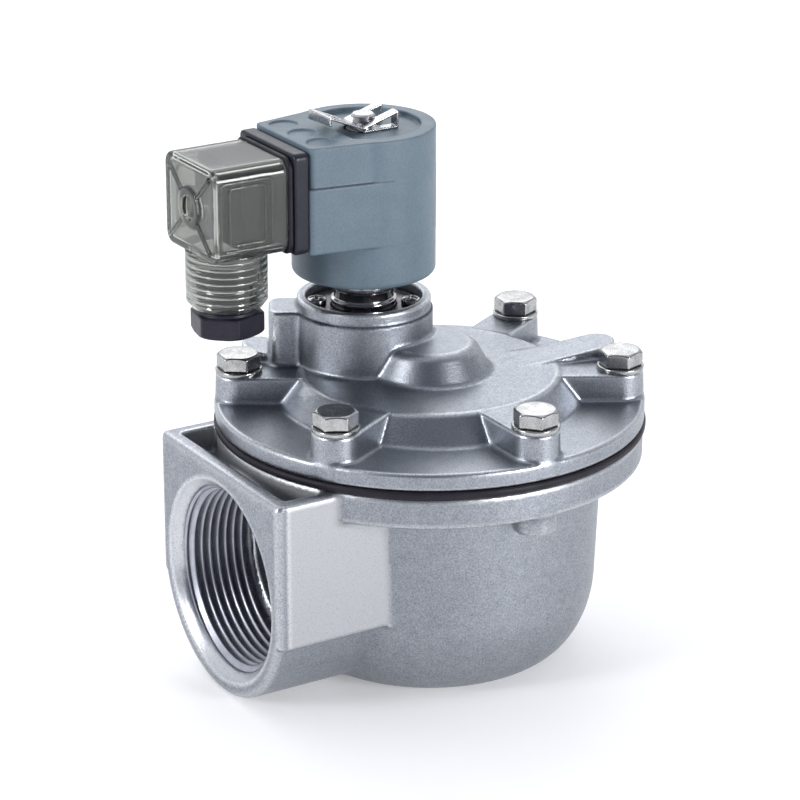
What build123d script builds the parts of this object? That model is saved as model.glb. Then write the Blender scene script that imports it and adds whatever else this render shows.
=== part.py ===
from build123d import *
from math import asin, cos, degrees, radians, sin, sqrt
import os

# Right-angle diaphragm pulse valve with a built-in pilot, a coil and a plug connector.
# The origin is the centre of the outlet at the bottom face. +Z points up to the coil, and the
# inlet opens towards -X. All sizes are in millimetres.

os.makedirs("parts", exist_ok=True)

# Pipe thread of the inlet and the outlet, G 1 1/2: the holes are cut to the thread's outer radius
thread_radius = 47.803 / 2
thread_length = 22.0
mouth_chamfer = 1.7
outlet_chamfer = 0.8
bore_step = 1.9
inlet_bore_radius = thread_radius - bore_step

# Body casting: the neck, the nozzle and the height are set by the walls round the thread
neck_wall = 6.3
neck_radius = thread_radius + neck_wall
neck_half_width = neck_radius
neck_ground_gap = 0.2
inlet_height = neck_radius + neck_ground_gap
gasket_rise = 31.1
gasket_level = inlet_height + gasket_rise
flange_radius = 54.4
flange_thickness = 8.0
bowl_radius_top = 44.2
bowl_radius_low = 42.9
bowl_bend_height = 22.9
base_ring = 4.5
base_radius = thread_radius + base_ring
wall = 4.0
inlet_reach = 62.0
side_pad_rise = 0.4
side_pad_setback = 2.4
side_drop = 7.8
neck_side_bottom = inlet_height - side_drop
neck_top_drop = 0.8
neck_edge_radius = 2.0
front_wall = 4.0
side_wall = 3.5
barrel_wall = 3.3
barrel_radius = thread_radius + barrel_wall
nozzle_wall = 4.1
nozzle_outer_radius = thread_radius + nozzle_wall
nozzle_bore_radius = 19.5
nozzle_taper_start = 26.0
seat_radius = 22.5
seat_drop = 4.3
seat_level = gasket_level - seat_drop
chamber_radius_top = 40.4
chamber_lip = 0.7

# Bolts that hold the cover
bolt_count = 6
bolt_edge_distance = 5.8
bolt_circle = flange_radius - bolt_edge_distance
bolt_radius = 3.0
bolt_length = 24.0
bolt_head_across_flats = 10.0
bolt_head_height = 4.0
bolt_head_bevel = 0.3
bolt_clearance = 0.3
washer_radius = 6.0
washer_thickness = 1.2
bolt_boss_radius = 5.9
bolt_boss_depth = 5.0
first_bolt_angle = 30.0

# Main diaphragm and its moving middle
rubber_overhang = 0.8
diaphragm_radius = flange_radius + rubber_overhang
rubber_thickness = 2.0
seat_overlap = 3.0
web_gap = 0.8
roll_share = 0.51
plate_inset = 1.0
plate_thickness = 1.6
spring_lip_wall = 0.8
lower_plate_radius = 18.0
lower_plate_thickness = 2.0
lower_plate_bevel = 0.7
rivet_radius = 4.0
rivet_head_radius = 6.4
rivet_head_thickness = 1.4

# Cover casting
rim_overhang = 0.4
rim_radius = flange_radius + rim_overhang
rim_thickness = 4.6
rim_edge_radius = 1.0
cone_radius_low = 38.4
cone_radius_high = 33.0
cover_top_height = 11.8
lobe_inner_radius = 22.0
lobe_drop = 0.3
hump_radius_low = 15.8
hump_radius_high = 11.6
hump_height = 7.4
hump_edge_radius = 1.6
spring_pocket_radius = 9.6
cover_wall = 4.2

# Pilot post on the cover
pilot_angle = 120.0
pilot_distance = 19.2
post_radius = 17.7
post_ring_radius = 17.1
post_ring_height = 3.3
post_height = 28.8
recess_radius = 14.95
recess_depth = 2.6
foot_radius = 9.6
foot_thickness = 2.0
fit_gap = 0.2
pilot_chamber_radius = 6.2
pilot_chamber_depth = 7.0
pilot_seat_radius = 2.4
pilot_seat_height = 2.6
pilot_seat_flare = 1.2
pilot_orifice_radius = 1.2
passage_radius = 2.2
passage_rise = 0.6
o_ring_radius = 7.9
o_ring_section = 0.7

# Vent tower beside the post and the two low pads between the lobes
tower_angle = 150.0
tower_reach = 24.4
tower_half_width = 6.2
tower_top_drop = 2.9
pad_half_width = 5.8
pad_inner = 26.0
pad_edge_distance = 10.4
pad_reach = flange_radius - pad_edge_distance
pad_height = 8.0
pad_tilt = 8.0
pad_gap = 1.6
pad_turn = degrees(asin((washer_radius + pad_half_width + pad_gap) / bolt_circle))
right_pad_angle = pad_turn - first_bolt_angle
left_pad_angle = first_bolt_angle + 720.0 / bolt_count - pad_turn

# Armature tube, its clamp plate and screws
plate_outer_radius = 14.6
clamp_thickness = 2.5
collar_radius = 8.2
collar_groove_depth = 0.6
collar_groove_width = 1.2
collar_rise = 9.4
tube_radius = 4.7
tube_wall = 0.4
tube_end_drop = 1.0
cap_thickness = 0.8
cap_overlap = 0.5
cap_bevel = 0.4
plunger_clearance = 0.08
plunger_length = 24.0
plunger_lift = 1.6
plunger_seal_radius = 2.6
plunger_seal_thickness = 2.0
seal_protrusion = 0.4
plunger_pocket_depth = 8.0
plunger_pocket_gap = 0.6
pilot_screw_circle = 12.1
pilot_screw_radius = 1.5
pilot_screw_head_radius = 2.6
pilot_screw_head_height = 1.9
pilot_screw_edge_radius = 0.75
pilot_screw_length = 8.0
pilot_screw_clearance = 0.1
pilot_cross_length = 4.0
pilot_cross_width = 1.1
pilot_cross_depth = 0.9
pilot_screw_angle = 31.5

# Coil: a barrel with a square head whose flat end points the same way as the inlet
coil_radius = 18.35
coil_height = 38.4
coil_edge_radius = 1.4
head_reach = 23.7
head_half_width = 14.4
head_corner_radius = 1.2
head_bottom = 11.2
head_step = 0.5
head_step_height = 10.2
coil_bore_clearance = 0.08
coil_recess_radius = 14.6
coil_recess_depth = 1.2
coil_recess_chord = -9.5
mark_radius = 3.6
mark_depth = 0.4
mark_spacing = 9.4
mark_reach = 17.6
winding_inner = 7.0
winding_outer = 14.2
winding_bottom = 4.2
winding_height = 28.0
yoke_thickness = 1.6

# Spring clip: a wing over the head, a valley, and a fork folded down onto the recess floor
clip_thickness = 0.7
clip_width = 10.4
clip_wing_reach = 12.4
clip_wing_height = 5.2
clip_wing_fold = 1.8
clip_valley_reach = 2.8
clip_valley_height = 1.2
clip_fork_reach = 7.0
clip_fork_height = 4.2
clip_base_reach = 2.4
clip_slot_width = 5.0
clip_hole_radius = 1.8
clip_hole_reach = 8.6
clip_grip = 0.05
clip_cap_play = 0.3

# Connector
frame_thickness = 4.0
frame_margin = 0.4
frame_corner = 1.0
gasket_thickness = 1.5
gasket_lip = 0.6
plug_length = 20.4
plug_half_width = 12.9
plug_bottom = 12.3
plug_top = 36.1
plug_corner = 3.6
plug_wall = 1.6
plug_face_draft = 1.2
plug_axis_reach = 39.6
gland_radius = 10.3
gland_bore_radius = 7.6
gland_drop = 14.7
gland_chamfer = 1.8
nut_across_flats = 16.6
nut_height = 6.6
nut_gap = 0.5
nut_bevel = 0.2
nut_spigot_radius = 7.4
nut_spigot_height = 5.0
cable_hole_radius = 4.4
gland_seal_height = 5.0
gland_washer_thickness = 0.8
blade_width = 6.3
blade_thickness = 0.8
blade_spacing = 9.0
blade_reach = 11.0
blade_rise = 2.0
blade_grip = 5.0
earth_drop = 7.5
insert_margin = 0.5
insert_length = 12.0
contact_half = 1.7
contact_length = 9.0
contact_gap = 1.0
contact_margin = 0.8
screw_radius = 1.5
screw_head_radius = 2.7
screw_head_height = 2.0
screw_clearance = 0.2
screw_seal_thickness = 0.8
screw_cross_length = 3.2
screw_cross_width = 0.7
screw_cross_depth = 0.6
screw_well_radius = 3.2
screw_boss_radius = 5.2
screw_boss_rise = 0.6
face_rib_width = 1.0
face_rib_rise = 0.3
side_frame_line = 0.5
side_frame_rise = 0.2
side_frame_front = 1.8
side_frame_back = 4.4
side_frame_margin = 3.2
side_frame_corner = 1.4
screw_well_depth = 5.0
screw_grip = 5.0

# Springs
main_spring_radius = 7.6
main_spring_wire = 0.7
main_spring_turns = 5
plunger_spring_radius = 2.0
plunger_spring_wire = 0.3
plunger_spring_turns = 6

# Levels and places that follow from the sizes above
flange_bottom = gasket_level - flange_thickness
neck_top = gasket_level - neck_top_drop
cover_level = gasket_level + rubber_thickness
rim_top = cover_level + rim_thickness
cover_top = cover_level + cover_top_height
lobe_top = cover_top - lobe_drop
hump_top = cover_top + hump_height
post_top = cover_level + post_height
recess_floor = post_top - recess_depth - clamp_thickness
foot_seat = recess_floor - foot_thickness
ceiling = cover_top - cover_wall
pocket_ceiling = hump_top - cover_wall
tower_top = post_top - tower_top_drop
collar_top = recess_floor + clamp_thickness + collar_rise
coil_bottom = collar_top
coil_top = coil_bottom + coil_height
flat_end = seat_radius + seat_overlap
plate_radius = flat_end - plate_inset
web_end = chamber_radius_top - web_gap
convolution_radius = (roll_share * (web_end - flat_end) - rubber_thickness) / 2
web_radius = web_end - rubber_thickness - convolution_radius
diaphragm_floor = seat_level
diaphragm_top = diaphragm_floor + rubber_thickness
pilot_x = pilot_distance * cos(radians(pilot_angle))
pilot_y = pilot_distance * sin(radians(pilot_angle))
pilot_place = Pos(pilot_x, pilot_y, 0)
plug_start = head_reach + frame_thickness + gasket_thickness
plug_end = plug_start + plug_length
plug_middle = coil_bottom + (plug_bottom + plug_top) / 2
plug_low = coil_bottom + plug_bottom
plug_high = coil_bottom + plug_top
blade_level = plug_middle + blade_rise
earth_level = plug_middle - earth_drop
insert_end = plug_start + insert_length
screw_seat = plug_end - screw_well_depth
nut_top = plug_low - gland_drop - nut_gap
spigot_top = nut_top + nut_gap + nut_spigot_height
pilot_floor = foot_seat - pilot_chamber_depth
seat_top = pilot_floor + pilot_seat_height
tube_bore = tube_radius - tube_wall
plunger_bottom = seat_top + seal_protrusion
plunger_top = plunger_bottom + plunger_length
plunger_radius = tube_bore - plunger_clearance
core_bottom = plunger_top + plunger_lift
clip_level = coil_top - coil_recess_depth
cap_level = clip_level + (clip_valley_height + clip_fork_height) / 2 + clip_cap_play
cap_top = cap_level + cap_thickness
cap_radius = clip_slot_width / 2 + cap_overlap
groove_radius = clip_slot_width / 2 - clip_grip
BASE = (Align.CENTER, Align.CENTER, Align.MIN)


def disc(radius, bottom, top):
    """Upright cylinder on the Z axis between two levels."""
    return Pos(0, 0, bottom) * Cylinder(radius, top - bottom, align=BASE)


def ring(outer, inner, bottom, top):
    """Upright ring on the Z axis between two levels."""
    return disc(outer, bottom, top) - disc(inner, bottom, top)


def cone(radius_low, radius_high, bottom, top):
    """Upright truncated cone on the Z axis between two levels."""
    return Pos(0, 0, bottom) * Cone(radius_low, radius_high, top - bottom, align=BASE)


def block(x0, x1, y0, y1, z0, z1):
    """Box between six planes."""
    low = (Align.MIN, Align.MIN, Align.MIN)
    return Pos(x0, y0, z0) * Box(x1 - x0, y1 - y0, z1 - z0, align=low)


def along_x(radius, start, end, height):
    """Cylinder parallel to X between two X positions."""
    bar = Cylinder(radius, end - start, align=BASE)
    return Pos(start, 0, height) * Rot(0, 90, 0) * bar


def turned(points):
    """Solid of revolution about Z from (radius, level) corners."""
    outline = make_face(Polyline(*[(r, 0, z) for r, z in points], close=True))
    return revolve(outline, Axis.Z)


def around(piece, count, radius, start=0.0):
    """Copies of a piece, evenly spaced on a circle about Z."""
    copies = []
    for index in range(count):
        angle = start + 360.0 * index / count
        copies.append(Rot(0, 0, angle) * Pos(radius, 0, 0) * piece)
    return copies


def slot_block(start, end, half_width, bottom, top):
    """Upright bar along X whose far end is round."""
    bar = block(start, end - half_width, -half_width, half_width, bottom, top)
    nose = Pos(end - half_width, 0, 0) * disc(half_width, bottom, top)
    return bar + nose


def coil_spring(radius, wire, bottom, top, turns):
    """Open coil spring between two levels, wire ends flat on its seats."""
    height = top - bottom - 2 * wire
    path = Helix(height / turns, height, radius)
    section = Plane(origin=path @ 0, z_dir=path % 0) * Circle(wire)
    return Pos(0, 0, bottom + wire) * sweep(section, path, is_frenet=True)


def bowl_outline(inset, floor, top_radius, top):
    """Half outline of the bowl, moved inwards by a wall."""
    low_radius = bowl_radius_low - inset
    bend_height = bowl_bend_height - floor
    centre = (base_radius, bowl_bend_height)
    curve = EllipticalCenterArc(centre, low_radius - base_radius, bend_height, 270, arc_size=90)
    lines = [
        Line((0, floor), (base_radius, floor)),
        curve,
        Line((low_radius, bowl_bend_height), (top_radius, top)),
        Line((top_radius, top), (0, top)),
        Line((0, top), (0, floor)),
    ]
    return revolve(Plane.XZ * make_face(lines), Axis.Z)


def make_neck():
    """Inlet neck: a box above, a round barrel below, a softened front edge and raised side pads."""
    side_height = neck_top - neck_side_bottom
    box_part = Pos(0, neck_side_bottom + side_height / 2) * Rectangle(2 * neck_half_width, side_height)
    round_part = Pos(0, inlet_height) * Circle(neck_radius)
    outline = box_part + round_part
    plane = Plane(origin=(-inlet_reach, 0, 0), x_dir=(0, 1, 0), z_dir=(1, 0, 0))
    neck = extrude(plane * outline, inlet_reach - nozzle_outer_radius)
    front = neck.faces().sort_by(Axis.X)[0]
    neck = fillet(front.edges(), neck_edge_radius)
    pad_half = neck_half_width + side_pad_rise
    return neck + block(side_pad_setback - inlet_reach, -nozzle_outer_radius, -pad_half, pad_half,
                        neck_side_bottom, neck_top)


def make_body():
    """Body casting with the inlet, the bowl, the outlet nozzle and the flange."""
    shell = bowl_outline(0, 0, bowl_radius_top, flange_bottom)
    shell += disc(flange_radius, flange_bottom, gasket_level)
    boss = disc(bolt_boss_radius, flange_bottom - bolt_boss_depth, flange_bottom)
    for copy in around(boss, bolt_count, bolt_circle, first_bolt_angle):
        shell += copy
    neck = make_neck()
    pocket_x = -inlet_reach + front_wall
    inner_half = neck_half_width - side_wall
    pocket = block(pocket_x, 0, -inner_half, inner_half, flange_bottom, gasket_level)
    barrel = along_x(barrel_radius, -inlet_reach, 0, inlet_height)
    neck -= pocket - barrel
    shell += neck
    shell -= bowl_outline(wall, wall, chamber_radius_top, gasket_level)
    shell -= along_x(thread_radius, -inlet_reach, thread_length - inlet_reach, inlet_height)
    shell -= along_x(inlet_bore_radius, -inlet_reach, -nozzle_outer_radius, inlet_height)
    mouth = Cone(thread_radius + mouth_chamfer, thread_radius, mouth_chamfer, align=BASE)
    shell -= Pos(-inlet_reach, 0, inlet_height) * Rot(0, 90, 0) * mouth
    nozzle = turned([
        (0, 0),
        (nozzle_outer_radius, 0),
        (nozzle_outer_radius, nozzle_taper_start),
        (seat_radius, nozzle_taper_start + 2 * (nozzle_outer_radius - seat_radius)),
        (seat_radius, seat_level),
        (0, seat_level),
    ])
    shell += nozzle
    shell -= disc(nozzle_bore_radius, 0, seat_level)
    shell -= disc(thread_radius, 0, thread_length)
    cone_top = thread_length + thread_radius - nozzle_bore_radius
    shell -= cone(thread_radius, nozzle_bore_radius, thread_length, cone_top)
    shell -= cone(thread_radius + outlet_chamfer, thread_radius, 0, outlet_chamfer)
    hole = disc(bolt_radius, lobe_top + washer_thickness - bolt_length, gasket_level)
    for copy in around(hole, bolt_count, bolt_circle, first_bolt_angle):
        shell -= copy
    return shell


def pad(angle, top):
    """Low pad with a round outer end and a top that rises outwards."""
    bar = slot_block(pad_inner, pad_reach + pad_half_width, pad_half_width, cover_level + rim_thickness / 2,
                     top + pad_height)
    above = block(-pad_reach, 2 * pad_reach, -pad_reach, pad_reach, 0, pad_reach)
    above = Pos(pad_inner, 0, top) * Rot(0, -pad_tilt, 0) * above
    return Rot(0, 0, angle) * (bar - above)


def make_cover():
    """Cover casting with the bolt lobes, the hump, the pilot post and its vent tower."""
    solid = turned([
        (0, cover_level),
        (rim_radius, cover_level),
        (rim_radius, rim_top),
        (cone_radius_low, rim_top),
        (cone_radius_high, cover_top),
        (hump_radius_low, cover_top),
        (hump_radius_high, hump_top),
        (0, hump_top),
    ])
    circles = solid.edges().filter_by(GeomType.CIRCLE)
    rim_edge = circles.sort_by(SortBy.RADIUS)[-2:].sort_by(Axis.Z)[-1]
    solid = fillet(rim_edge, rim_edge_radius)
    solid = fillet(solid.edges().filter_by(GeomType.CIRCLE).sort_by(Axis.Z)[-1], hump_edge_radius)
    lobe_end = bolt_circle + bolt_boss_radius
    lobe = slot_block(lobe_inner_radius, lobe_end, bolt_boss_radius, cover_level, lobe_top)
    for index in range(bolt_count):
        solid += Rot(0, 0, first_bolt_angle + 360.0 * index / bolt_count) * lobe
    solid += pad(right_pad_angle, cover_top)
    solid += pad(left_pad_angle, cover_top)
    post = disc(post_radius, ceiling, post_top - post_ring_height) + disc(post_ring_radius, ceiling, post_top)
    solid += pilot_place * post
    tower = block(0, tower_reach, -tower_half_width, tower_half_width, ceiling, tower_top)
    tower = fillet(tower.edges().filter_by(Axis.Z).sort_by(Axis.X)[-2:], tower_half_width / 2)
    solid += pilot_place * Rot(0, 0, tower_angle) * tower
    cavity = turned([
        (0, cover_level),
        (chamber_radius_top + chamber_lip, cover_level),
        (chamber_radius_top, cover_level + chamber_lip),
        (cone_radius_high - cover_wall, ceiling),
        (spring_pocket_radius, ceiling),
        (spring_pocket_radius, pocket_ceiling),
        (0, pocket_ceiling),
    ])
    solid -= cavity
    hole = disc(bolt_radius + bolt_clearance, cover_level, lobe_top)
    for copy in around(hole, bolt_count, bolt_circle, first_bolt_angle):
        solid -= copy
    recess = disc(recess_radius, recess_floor, post_top)
    recess += disc(foot_radius + fit_gap, foot_seat, recess_floor)
    recess += disc(pilot_chamber_radius, pilot_floor, foot_seat)
    recess -= cone(pilot_seat_radius + pilot_seat_flare, pilot_seat_radius, pilot_floor, seat_top)
    recess += disc(pilot_orifice_radius, ceiling, seat_top)
    groove_half = o_ring_section + fit_gap
    recess += ring(o_ring_radius + groove_half, o_ring_radius - groove_half,
                   foot_seat - 2 * o_ring_section, foot_seat)
    vent_level = pilot_floor + passage_radius + passage_rise
    vent = along_x(passage_radius, pilot_seat_radius + pilot_seat_flare, tower_reach, vent_level)
    recess += Rot(0, 0, tower_angle) * vent
    screw_hole = disc(pilot_screw_radius, recess_floor + clamp_thickness - pilot_screw_length, recess_floor)
    for copy in around(screw_hole, 2, pilot_screw_circle, -pilot_screw_angle):
        recess += copy
    return solid - pilot_place * recess


def make_main_diaphragm():
    """Rubber diaphragm: a flat clamped rim, a rolled web and a flat middle on the seat."""
    inner = web_radius - convolution_radius - rubber_thickness
    outer = web_radius + convolution_radius + rubber_thickness
    low = gasket_level
    high = cover_level
    lines = [
        Line((rivet_radius, diaphragm_floor), (flat_end, diaphragm_floor)),
        Line((flat_end, diaphragm_floor), (inner + rubber_thickness, low)),
        ThreePointArc((inner + rubber_thickness, low), (web_radius, low + convolution_radius / 2),
                      (outer - rubber_thickness, low)),
        Line((outer - rubber_thickness, low), (diaphragm_radius, low)),
        Line((diaphragm_radius, low), (diaphragm_radius, high)),
        Line((diaphragm_radius, high), (outer, high)),
        ThreePointArc((outer, high), (web_radius, high + convolution_radius / 2), (inner, high)),
        Line((inner, high), (flat_end - rubber_thickness / 2, diaphragm_top)),
        Line((flat_end - rubber_thickness / 2, diaphragm_top), (rivet_radius, diaphragm_top)),
        Line((rivet_radius, diaphragm_top), (rivet_radius, diaphragm_floor)),
    ]
    rubber = revolve(Plane.XZ * make_face(lines), Axis.Z)
    hole = disc(bolt_radius + bolt_clearance, low, high)
    for copy in around(hole, bolt_count, bolt_circle, first_bolt_angle):
        rubber -= copy
    return rubber


def make_upper_retainer():
    """Pressed plate above the rubber, with a turned-up rim that centres the spring."""
    plate = ring(plate_radius, rivet_radius, diaphragm_top, diaphragm_top + plate_thickness)
    lip_radius = main_spring_radius + main_spring_wire + plate_thickness
    lip = ring(lip_radius, lip_radius - spring_lip_wall, diaphragm_top + plate_thickness,
               diaphragm_top + 2 * plate_thickness)
    return plate + lip


def make_lower_retainer():
    """Plate below the rubber that dips into the nozzle."""
    bottom = diaphragm_floor - lower_plate_thickness
    plate = ring(lower_plate_radius, rivet_radius, bottom, diaphragm_floor)
    low_circles = plate.edges().filter_by(GeomType.CIRCLE).sort_by(Axis.Z)[0:2]
    return chamfer(low_circles.sort_by(SortBy.RADIUS)[-1:], lower_plate_bevel)


def make_diaphragm_rivet():
    """Rivet through both plates and the rubber."""
    low = diaphragm_floor - lower_plate_thickness
    high = diaphragm_top + plate_thickness
    rivet = disc(rivet_radius, low, high)
    rivet += disc(rivet_head_radius, low - rivet_head_thickness, low)
    rivet += disc(rivet_head_radius, high, high + rivet_head_thickness)
    return rivet


def make_main_spring():
    """Compression spring between the upper plate and the roof of the hump."""
    bottom = diaphragm_top + plate_thickness
    return coil_spring(main_spring_radius, main_spring_wire, bottom, pocket_ceiling, main_spring_turns)


def make_cover_bolts():
    """Six hexagon bolts, each its own solid."""
    head_bottom_level = lobe_top + washer_thickness
    half_flats = bolt_head_across_flats / 2
    head = extrude(RegularPolygon(half_flats, 6, major_radius=False), bolt_head_height)
    top_cone = cone(half_flats + bolt_head_height, half_flats - bolt_head_bevel, 0, bolt_head_height)
    bolt = Pos(0, 0, head_bottom_level) * (head & top_cone)
    bolt += disc(bolt_radius, head_bottom_level - bolt_length, head_bottom_level)
    return around(bolt, bolt_count, bolt_circle, first_bolt_angle)


def make_cover_washers():
    """Six plain washers under the bolt heads."""
    washer = ring(washer_radius, bolt_radius + bolt_clearance, lobe_top, lobe_top + washer_thickness)
    return around(washer, bolt_count, bolt_circle, first_bolt_angle)


def make_armature_tube():
    """Guide tube with a foot and a turned collar that carries the coil."""
    groove_level = (recess_floor + clamp_thickness + collar_top) / 2
    tube = disc(foot_radius, foot_seat, recess_floor)
    tube += disc(collar_radius, recess_floor, collar_top)
    tube -= ring(foot_radius, collar_radius - collar_groove_depth,
                 groove_level, groove_level + collar_groove_width)
    tube += disc(tube_radius, foot_seat, clip_level - tube_end_drop)
    tube -= disc(tube_bore, foot_seat, clip_level - tube_end_drop)
    return pilot_place * tube


def make_tube_clamp_plate():
    """Round plate that holds the foot of the tube down in the recess."""
    plate = ring(plate_outer_radius, collar_radius + fit_gap, recess_floor, recess_floor + clamp_thickness)
    hole = disc(pilot_screw_radius + pilot_screw_clearance, recess_floor, recess_floor + clamp_thickness)
    for copy in around(hole, 2, pilot_screw_circle, -pilot_screw_angle):
        plate -= copy
    return pilot_place * plate


def cross_recess(length, width, depth):
    """Cross that a driver fits, sunk below the origin along Z."""
    bar = Box(length, width, 2 * depth)
    return bar + Rot(0, 0, 90) * bar


def make_pilot_screws():
    """Two pan-head screws with a cross recess."""
    seat = recess_floor + clamp_thickness
    head = disc(pilot_screw_head_radius, seat, seat + pilot_screw_head_height)
    head = fillet(head.edges().sort_by(Axis.Z)[-1], pilot_screw_edge_radius)
    screw = head + disc(pilot_screw_radius, seat - pilot_screw_length, seat)
    cross = cross_recess(pilot_cross_length, pilot_cross_width, pilot_cross_depth)
    screw -= Pos(0, 0, seat + pilot_screw_head_height) * cross
    return [pilot_place * copy for copy in around(screw, 2, pilot_screw_circle, -pilot_screw_angle)]


def make_tube_o_ring():
    """O-ring in the groove under the foot of the tube."""
    return pilot_place * Pos(0, 0, foot_seat - o_ring_section) * Torus(o_ring_radius, o_ring_section)


def make_fixed_core():
    """Solid core in the top of the tube, with a neck for the clip's fork and a cap over it."""
    core = disc(tube_bore, core_bottom, clip_level)
    core += disc(groove_radius, clip_level, cap_top)
    core += disc(cap_radius, cap_level, cap_top)
    return pilot_place * chamfer(core.edges().sort_by(Axis.Z)[-1], cap_bevel)


def make_plunger():
    """Sliding core with a spring pocket above and the seal's pocket below."""
    plunger = disc(plunger_radius, plunger_bottom, plunger_top)
    plunger -= disc(plunger_seal_radius, plunger_bottom, seat_top + plunger_seal_thickness)
    pocket_radius = plunger_spring_radius + plunger_pocket_gap
    plunger -= disc(pocket_radius, plunger_top - plunger_pocket_depth, plunger_top)
    return pilot_place * plunger


def make_plunger_seal():
    """Rubber disc that closes the pilot seat."""
    return pilot_place * disc(plunger_seal_radius, seat_top, seat_top + plunger_seal_thickness)


def make_plunger_spring():
    """Small spring between the plunger and the fixed core."""
    spring = coil_spring(plunger_spring_radius, plunger_spring_wire, plunger_top - plunger_pocket_depth,
                         core_bottom, plunger_spring_turns)
    return pilot_place * spring


def head_outline(inset):
    """Plan of the coil's head: a square end that runs tangent into the barrel."""
    reach = head_reach - inset
    half = head_half_width - inset
    radius = coil_radius - inset
    distance = sqrt(reach ** 2 + half ** 2)
    corner = Vector(-reach, half).get_angle(Vector(-1, 0))
    spread = corner + Vector(radius, sqrt(distance ** 2 - radius ** 2)).get_angle(Vector(1, 0))
    touch = (-radius * cos(radians(spread)), radius * sin(radians(spread)))
    return make_face(Polyline((-reach, half), touch, (touch[0], -touch[1]), (-reach, -half), close=True))


def blades():
    """Two flat blades and the earth blade of the coil."""
    start = -(plug_start + blade_reach)
    end = -(head_reach - blade_grip)
    half_w = blade_width / 2
    half_t = blade_thickness / 2
    pieces = [block(start, end, side - half_t, side + half_t, blade_level - half_w, blade_level + half_w)
              for side in (-blade_spacing, blade_spacing)]
    pieces.append(block(start, end, -half_w, half_w, earth_level - half_t, earth_level + half_t))
    return pieces


def screw_channel(radius, start, end):
    """Cylinder along the connector screw's axis between two reaches."""
    return along_x(radius, -end, -start, plug_middle)


def make_coil_yoke():
    """Steel pot round the winding."""
    low = coil_bottom + winding_bottom
    high = low + winding_height
    yoke = ring(winding_outer + yoke_thickness, winding_inner, low - yoke_thickness, high + yoke_thickness)
    return yoke - ring(winding_outer, winding_inner, low, high)


def make_coil_winding():
    """Copper winding on its former."""
    low = coil_bottom + winding_bottom
    return ring(winding_outer, winding_inner, low, low + winding_height)


def make_coil_housing():
    """Moulded coil: barrel, square head, top recess and three blank round marks."""
    barrel = disc(coil_radius, coil_bottom, coil_top)
    barrel = fillet(barrel.edges().sort_by(Axis.Z)[0], coil_edge_radius)
    step_level = coil_top - head_step_height
    head_low = coil_bottom + head_bottom
    lower = extrude(Pos(0, 0, head_low) * head_outline(0), step_level - head_low)
    upper = extrude(Pos(0, 0, step_level) * head_outline(head_step), coil_top - step_level)
    corners = (lower + upper).edges().filter_by(Axis.Z).sort_by(Axis.X)[:4]
    solid = barrel + fillet(corners, head_corner_radius)
    recess = disc(coil_recess_radius, clip_level, coil_top) & block(
        coil_recess_chord, coil_radius, -coil_radius, coil_radius, clip_level, coil_top)
    solid -= recess
    for side in (-mark_spacing, 0, mark_spacing):
        solid -= Pos(-mark_reach, side, 0) * disc(mark_radius, coil_top - mark_depth, coil_top)
    solid -= disc(tube_radius + coil_bore_clearance, coil_bottom, coil_top)
    solid -= make_coil_yoke()
    solid -= make_coil_winding()
    for blade in blades():
        solid -= blade
    return solid - screw_channel(screw_radius, head_reach - screw_grip, head_reach)


def make_coil_clip():
    """Spring strip: a holed wing, a valley, and a fork that is folded down and back along the floor."""
    base_height = clip_thickness / 2
    path = Polyline(
        (-clip_wing_reach, clip_wing_height - clip_wing_fold),
        (-clip_wing_reach, clip_wing_height),
        (-clip_valley_reach, clip_valley_height),
        (clip_fork_reach, clip_fork_height),
        (clip_fork_reach, base_height),
        (-clip_base_reach, base_height),
    )
    strip = extrude(Plane.XZ * trace(path, clip_thickness), clip_width / 2, both=True)
    half_slot = clip_slot_width / 2
    high = clip_wing_height + clip_thickness
    strip -= block(0, clip_fork_reach + clip_thickness, -half_slot, half_slot, -clip_thickness, high)
    strip -= disc(half_slot, -clip_thickness, high)
    strip -= Pos(-clip_hole_reach, 0, 0) * disc(clip_hole_radius, 0, high)
    return Pos(0, 0, clip_level) * strip


def face_plate(half, low, high, start, end, corner):
    """Upright plate across the connector's axis with rounded corners."""
    plane = Plane(origin=(-end, 0, (low + high) / 2), x_dir=(0, 1, 0), z_dir=(1, 0, 0))
    return extrude(plane * RectangleRounded(2 * half, high - low, corner), end - start)


def make_terminal_frame():
    """Dark frame on the coil's head that the plug is pushed onto."""
    low = coil_bottom + head_bottom + frame_margin
    plate = face_plate(head_half_width - frame_margin, low, coil_top - 2 * frame_margin, head_reach,
                       head_reach + frame_thickness, frame_corner)
    for blade in blades():
        plate -= blade
    return plate - screw_channel(screw_radius + screw_clearance, head_reach, head_reach + frame_thickness)


def make_connector_gasket():
    """Flat gasket whose lip stands out all round the plug."""
    start = head_reach + frame_thickness
    gasket = face_plate(plug_half_width + gasket_lip, plug_low - gasket_lip, plug_high + gasket_lip, start,
                        plug_start, plug_corner)
    for blade in blades():
        gasket -= blade
    return gasket - screw_channel(screw_radius + screw_clearance, start, plug_start)


def gland_cylinder(radius, bottom, top):
    """Upright cylinder on the gland's axis."""
    return Pos(-plug_axis_reach, 0, 0) * disc(radius, bottom, top)


def side_frames():
    """Rounded rectangular outline through the plug, which shows as a raised frame on both sides."""
    length = plug_length - side_frame_front - side_frame_back
    height = plug_high - plug_low - 2 * side_frame_margin
    outer = RectangleRounded(length, height, side_frame_corner)
    inner = RectangleRounded(length - 2 * side_frame_line, height - 2 * side_frame_line,
                             side_frame_corner - side_frame_line)
    middle = plug_start + side_frame_back + length / 2
    plane = Plane(origin=(-middle, 0, plug_middle), x_dir=(1, 0, 0), z_dir=(0, 1, 0))
    return extrude(plane * (outer - inner), plug_half_width + side_frame_rise, both=True)


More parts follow.
